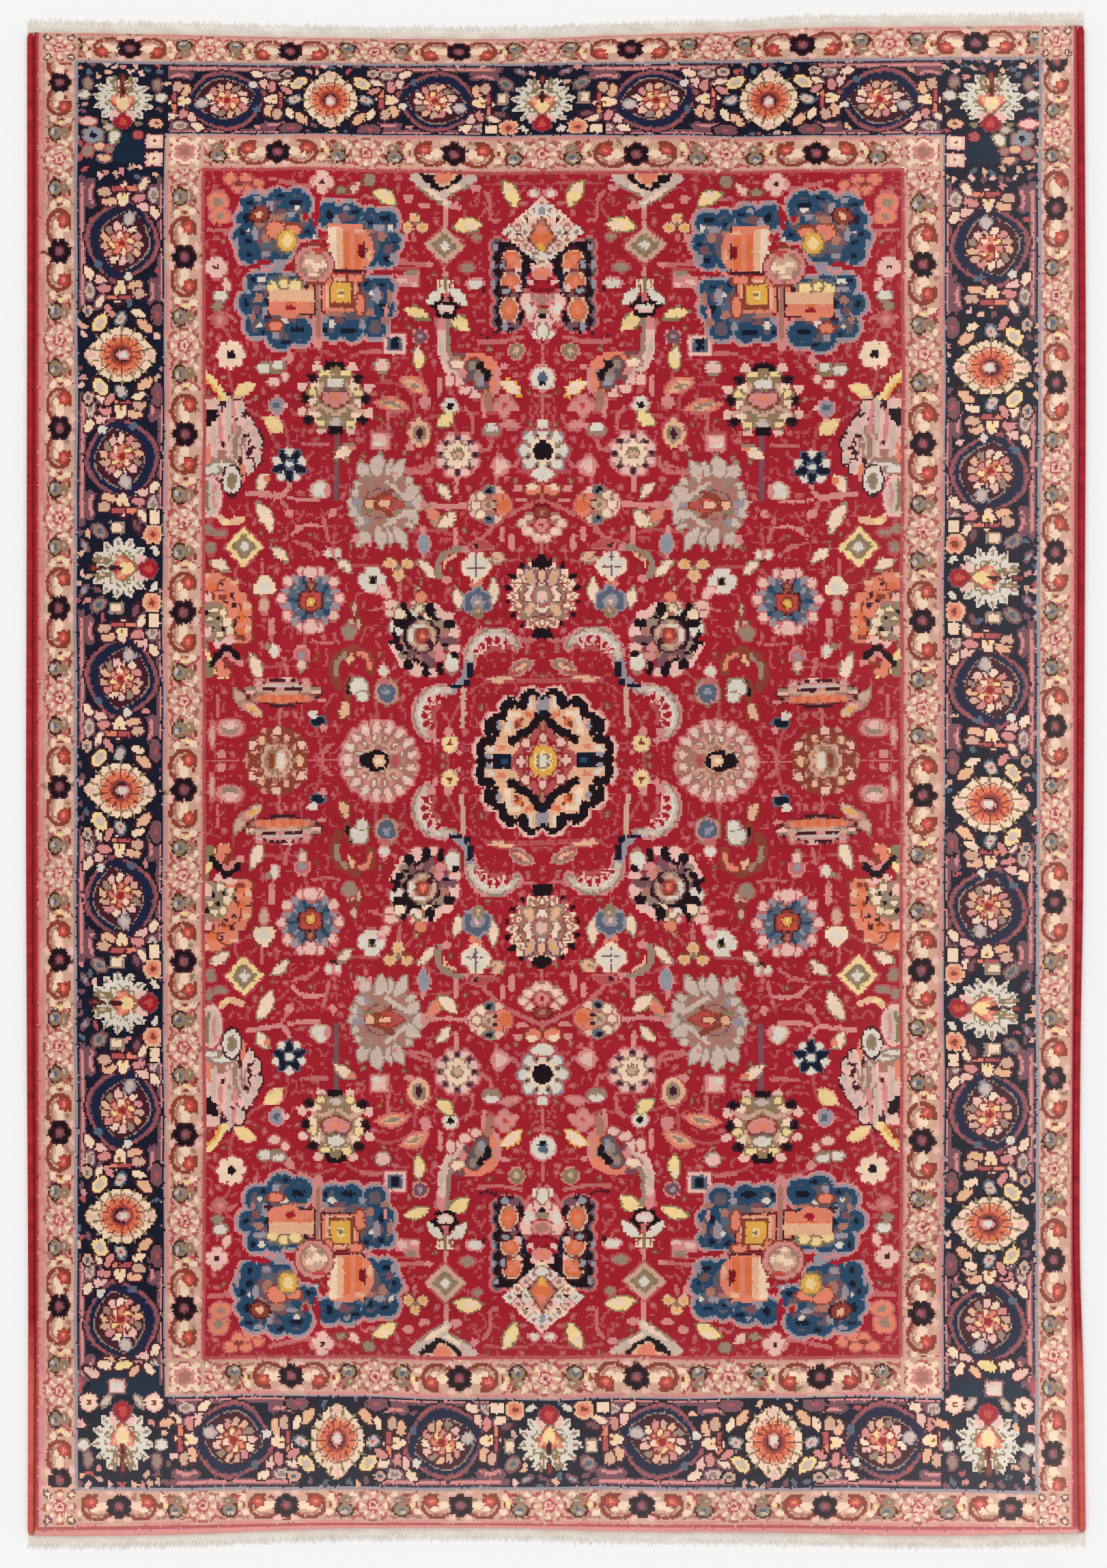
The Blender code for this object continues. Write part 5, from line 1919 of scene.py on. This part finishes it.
def knot_body(chart):
    """The pile in tiles, and the woven back under them."""
    pile = knotted_wool("wool_pile", strength=0.35)
    chart_rows = packed_rows(chart.dyes)
    columns = np.linspace(0, BLOCKS_ACROSS, TILES + 1).astype(int)
    rows = np.linspace(0, BLOCKS_ALONG, TILES + 1).astype(int)
    heights = (BACK_HEIGHT - BACK_OVERLAP, PILE_HEIGHT)
    tiles = [
        knotted_slab(f"pile_{j + 1}_{i + 1}", chart_rows, across, along, heights, pile)
        for j, along in enumerate(zip(rows, rows[1:]))
        for i, across in enumerate(zip(columns, columns[1:]))
    ]
    back_wool = knotted_wool("woven_back", strength=0.2)
    across, along, heights = (0, BLOCKS_ACROSS), (0, BLOCKS_ALONG), (BACK_HEIGHT, 0.0)
    back = knotted_slab("woven_back", chart_rows, across, along, heights, back_wool, face_up=False)
    return tiles, back


# ---------------------------------------------------------------- side cords, ends and fringe


def geometry_tree(name, sizes):
    """A Geometry Nodes tree with a geometry input and named sizes."""
    group = bpy.data.node_groups.new(name, "GeometryNodeTree")
    group.interface.new_socket("Geometry", in_out="INPUT", socket_type="NodeSocketGeometry")
    for size in sizes:
        group.interface.new_socket(size, in_out="INPUT", socket_type="NodeSocketFloat")
    group.interface.new_socket("Geometry", in_out="OUTPUT", socket_type="NodeSocketGeometry")
    tree = Tree(group.nodes, group.links)
    return group, tree, tree.node("NodeGroupInput", None, None, None)


def close_tree(tree, geometry, material):
    whole = tree.node("GeometryNodeRealizeInstances", None, {0: geometry})
    inputs = {"Geometry": whole, "Material": material}
    painted = tree.node("GeometryNodeSetMaterial", None, inputs)
    tree.node("NodeGroupOutput", None, {0: painted}, None)


def grown(name, start, group, sizes):
    """Runs a Geometry Nodes tree on an object and keeps the result as a plain mesh."""
    modifier = start.modifiers.new("growth", "NODES")
    modifier.node_group = group
    for item in group.interface.items_tree:
        if item.in_out == "INPUT" and item.name in sizes:
            modifier[item.identifier] = float(sizes[item.name])
    evaluated = start.evaluated_get(bpy.context.evaluated_depsgraph_get())
    mesh = bpy.data.meshes.new_from_object(evaluated)
    mesh.name = name
    bpy.data.objects.remove(start, do_unlink=True)
    return put(name, mesh)


def poly_line(name, points):
    curve = bpy.data.curves.new(name, "CURVE")
    curve.dimensions = "3D"
    spline = curve.splines.new("POLY")
    spline.points.add(len(points) - 1)
    for place, point in zip(spline.points, points):
        place.co = (*point, 1.0)
    return put(name, curve)


def overcast_tree(material):
    """A flattened cord with the ribs of close wrapping yarn, along a curve."""
    group, tree, given = geometry_tree(
        "overcast", ("Width", "Height", "Wrap Pitch", "Wrap Depth", "Step")
    )
    inputs = {"Curve": given["Geometry"], "Length": given["Step"]}
    steps = tree.node("GeometryNodeResampleCurve", {"mode": "LENGTH"}, inputs)
    steps = tree.node("GeometryNodeSetCurveNormal", {"mode": "Z_UP"}, {0: steps})
    along = tree.node("GeometryNodeSplineParameter", None, None, "Length")
    whole = tree.node("GeometryNodeSplineLength", None, None, "Length")
    phase = along * (2 * math.pi) / given["Wrap Pitch"]
    rib = phase.sine() + (phase * 0.37 + 1.0).sine() * 0.35
    to_end = along.at_most(whole - along)
    radius = (0.62 + to_end * 60.0).at_most(1.0) + rib * given["Wrap Depth"]
    ribbed = tree.node("GeometryNodeSetCurveRadius", None, {"Curve": steps, "Radius": radius})
    inputs = {"Resolution": 12, "Radius": 0.5}
    circle = tree.node("GeometryNodeCurvePrimitiveCircle", None, inputs, "Curve")
    shape = tree.node("ShaderNodeCombineXYZ", None, {0: given["Width"], 1: given["Height"], 2: 1.0})
    profile = tree.node("GeometryNodeTransform", None, {"Geometry": circle, "Scale": shape})
    inputs = {"Curve": ribbed, "Profile Curve": profile, "Scale": radius, "Fill Caps": True}
    close_tree(tree, tree.node("GeometryNodeCurveToMesh", None, inputs), material)
    return group


def wrap_sides(material):
    """The overcast cord down each side. Its ribs stand out past its plain width and height."""
    group = overcast_tree(material)
    inset = 0.002  # of its ends from the pile's
    sizes = {
        "Width": CORD_WIDTH - 0.0008,
        "Height": CORD_HEIGHT - 0.0006,
        "Wrap Pitch": 0.0046,
        "Wrap Depth": 0.045,
        "Step": 0.00115,
    }
    cords = []
    for name, line, inwards in (("wrap_left", left_x, 1), ("wrap_right", right_x, -1)):
        middle = inwards * CORD_WIDTH / 2
        x_end = line(0.0) + middle
        ys = np.linspace(bottom_y(x_end) + inset, top_y(x_end) - inset, 120)
        points = [(line(y) + middle, y, CORD_HEIGHT / 2) for y in ys]
        cords.append(grown(name, poly_line(name, points), group, sizes))
    return cords


def along_end(pile_edge, inset, count):
    """Even places along an end of the pile, from the left edge to the right."""
    return np.linspace(left_x(pile_edge(0.0)) + inset, right_x(pile_edge(0.0)) - inset, count)


def woven_end(name, pile_edge, outwards, material):
    """The flat-woven strip at an end: ridges of weft side by side, on a flat underside."""
    rows = WEFT_RIDGES * 4 + 1
    places = np.linspace(0, 1, rows)
    thinnest, ridge = 0.0013, 0.0011
    heights = thinnest + ridge * np.abs(np.sin(places * math.pi * WEFT_RIDGES))
    xs = along_end(pile_edge, 0.001, 300)
    wobble = 0.0006 * np.sin(xs * 61) + 0.0005 * np.sin(xs * 143 + 1)  # of the strip's outer side
    vertices = []
    for share, height in zip(places, heights):
        ys = pile_edge(xs) + outwards * (GAP + (WEAVE_WIDTH - GAP) * share) + wobble * share
        vertices += [(x, y, height) for x, y in zip(xs, ys)]
    count = len(xs)
    for k in (0, rows - 1):
        vertices += [(x, y, 0.0) for x, y, _ in vertices[k * count : (k + 1) * count]]
    starts = [row * count for row in range(rows + 2)]  # where each row's vertices begin
    *side, low, high = starts
    strips = [*zip(side, side[1:]), (low, 0), (side[-1], high), (high, low)]
    faces = [(a + i, a + i + 1, b + i + 1, b + i) for a, b in strips for i in range(count - 1)]
    faces.append((low, *side, high))
    faces.append(tuple(s + count - 1 for s in (high, *reversed(side), low)))
    if outwards < 0:
        faces = [face[::-1] for face in faces]
    return add_mesh(name, vertices, faces, material)


def fringe_tree(material, outwards):
    """Cut warp ends along a line: thin four-sided strands that lie outwards on the floor, each with a
    length, lean and thickness of its own."""
    group, tree, given = geometry_tree(
        "fringe_up" if outwards > 0 else "fringe_down",
        ("Strands", "Shortest", "Longest", "Thickness", "Lean", "Seed"),
    )
    inputs = {"Curve": given["Geometry"], "Count": given["Strands"]}
    roots = tree.node("GeometryNodeResampleCurve", {"mode": "COUNT"}, inputs)
    points = tree.node("GeometryNodeCurveToPoints", {"mode": "EVALUATED"}, {0: roots}, "Points")

    def chance(low, high, offset):
        inputs = {2: low, 3: high, "Seed": given["Seed"] + offset}
        return tree.node("FunctionNodeRandomValue", {"data_type": "FLOAT"}, inputs, 1)

    sizes = {"Vertices": 4, "Side Segments": 4, "Radius Top": 0.55, "Radius Bottom": 1.0, "Depth": 1.0}
    strand = tree.node("GeometryNodeMeshCone", {"fill_type": "NGON"}, sizes, "Mesh")
    # The strand starts at its root and is laid down along the rug.
    inputs = {"Geometry": strand, "Rotation": (-math.pi / 2 * outwards, 0.0, 0.0)}
    laid = tree.node("GeometryNodeTransform", None, inputs)
    turn = tree.node("ShaderNodeCombineXYZ", None, {2: chance(-1.0, 1.0, 1) * given["Lean"]})
    thick = given["Thickness"] * chance(0.7, 1.15, 2)
    length = chance(0.0, 1.0, 3) * chance(0.3, 1.0, 4)
    length = given["Shortest"] + (given["Longest"] - given["Shortest"]) * length
    size = tree.node("ShaderNodeCombineXYZ", None, {0: thick, 1: length, 2: given["Thickness"] * 0.8})
    inputs = {"Points": points, "Instance": laid, "Rotation": turn, "Scale": size}
    close_tree(tree, tree.node("GeometryNodeInstanceOnPoints", None, inputs), material)
    return group


def lay_fringe(material):
    """The cut warp ends past each flat-woven end."""
    sizes = {"Strands": 720, "Shortest": 0.009, "Longest": 0.019, "Thickness": 0.0016, "Lean": 0.22}
    ends = (("fringe_top", top_y, 1, 11), ("fringe_bottom", bottom_y, -1, 23))
    root_height, rooted = 0.0011, 0.0015  # rooted: how far inside the weave a strand starts
    fringes = []
    for name, pile_edge, outwards, seed in ends:
        xs = along_end(pile_edge, 0.002, 400)
        ys = pile_edge(xs) + outwards * (WEAVE_WIDTH - rooted)
        line = poly_line(name, [(x, y, root_height) for x, y in zip(xs, ys)])
        tree = fringe_tree(material, outwards)
        fringes.append(grown(name, line, tree, {**sizes, "Seed": seed}))
    return fringes


# ---------------------------------------------------------------- the studio


def set_studio():
    """A pale floor, soft light from all round with a little more from the upper left, and the
    camera straight above."""
    reach, below = 30.0, -0.0005
    corners = [(p * reach, q * reach, below) for p, q in ((-1, -1), (1, -1), (1, 1), (-1, 1))]
    floor = add_mesh("floor", corners, [(0, 1, 2, 3)], plain("pale_floor", (246, 246, 246), 0.9))

    world = bpy.data.worlds.new("studio")
    world.use_nodes = True
    background = world.node_tree.nodes["Background"]
    background.inputs["Color"].default_value = (1.0, 1.0, 1.0, 1.0)
    background.inputs["Strength"].default_value = 0.84
    bpy.context.scene.world = world

    light = bpy.data.lights.new("soft_lamp", "SUN")
    light.energy = 0.65
    light.angle = math.radians(50)
    lamp = put("soft_lamp", light)
    lamp.rotation_euler = (math.radians(-32), math.radians(-24), 0.0)

    # The frame's middle lies just off the rug's.
    lens = bpy.data.cameras.new("camera")
    lens.sensor_fit = "VERTICAL"
    lens.sensor_height = 36.0
    lens.lens = 85.0
    lens.clip_end = 200.0
    camera = put("camera", lens)
    camera.location = (-0.0045, -0.0058, FRAME_HEIGHT * lens.lens / lens.sensor_height)
    bpy.context.scene.camera = camera
    bpy.context.scene.view_settings.view_transform = "Standard"


# ---------------------------------------------------------------- the rug


def make_rug():
    tiles, back = knot_body(draw_chart())
    red = spun_yarn(
        "red_overcast", (130, 18, 29), (184, 45, 51), 0.85, low_colour=((186, 70, 58), (211, 110, 91))
    )
    cotton = spun_yarn("cream_cotton", (226, 216, 204), (248, 242, 234), 0.9, pitch=0.004)
    cords = wrap_sides(red)
    weaves = [
        woven_end("weave_top", top_y, 1, cotton),
        woven_end("weave_bottom", bottom_y, -1, cotton),
    ]
    fringes = lay_fringe(cotton)

    for piece in (*tiles, back, *cords, *weaves, *fringes):
        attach(piece, "root")
    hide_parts("rug")
    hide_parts("selvedge_left")
    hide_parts("selvedge_right")
    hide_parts("end_top")
    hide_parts("end_bottom")


make_rug()
set_studio()
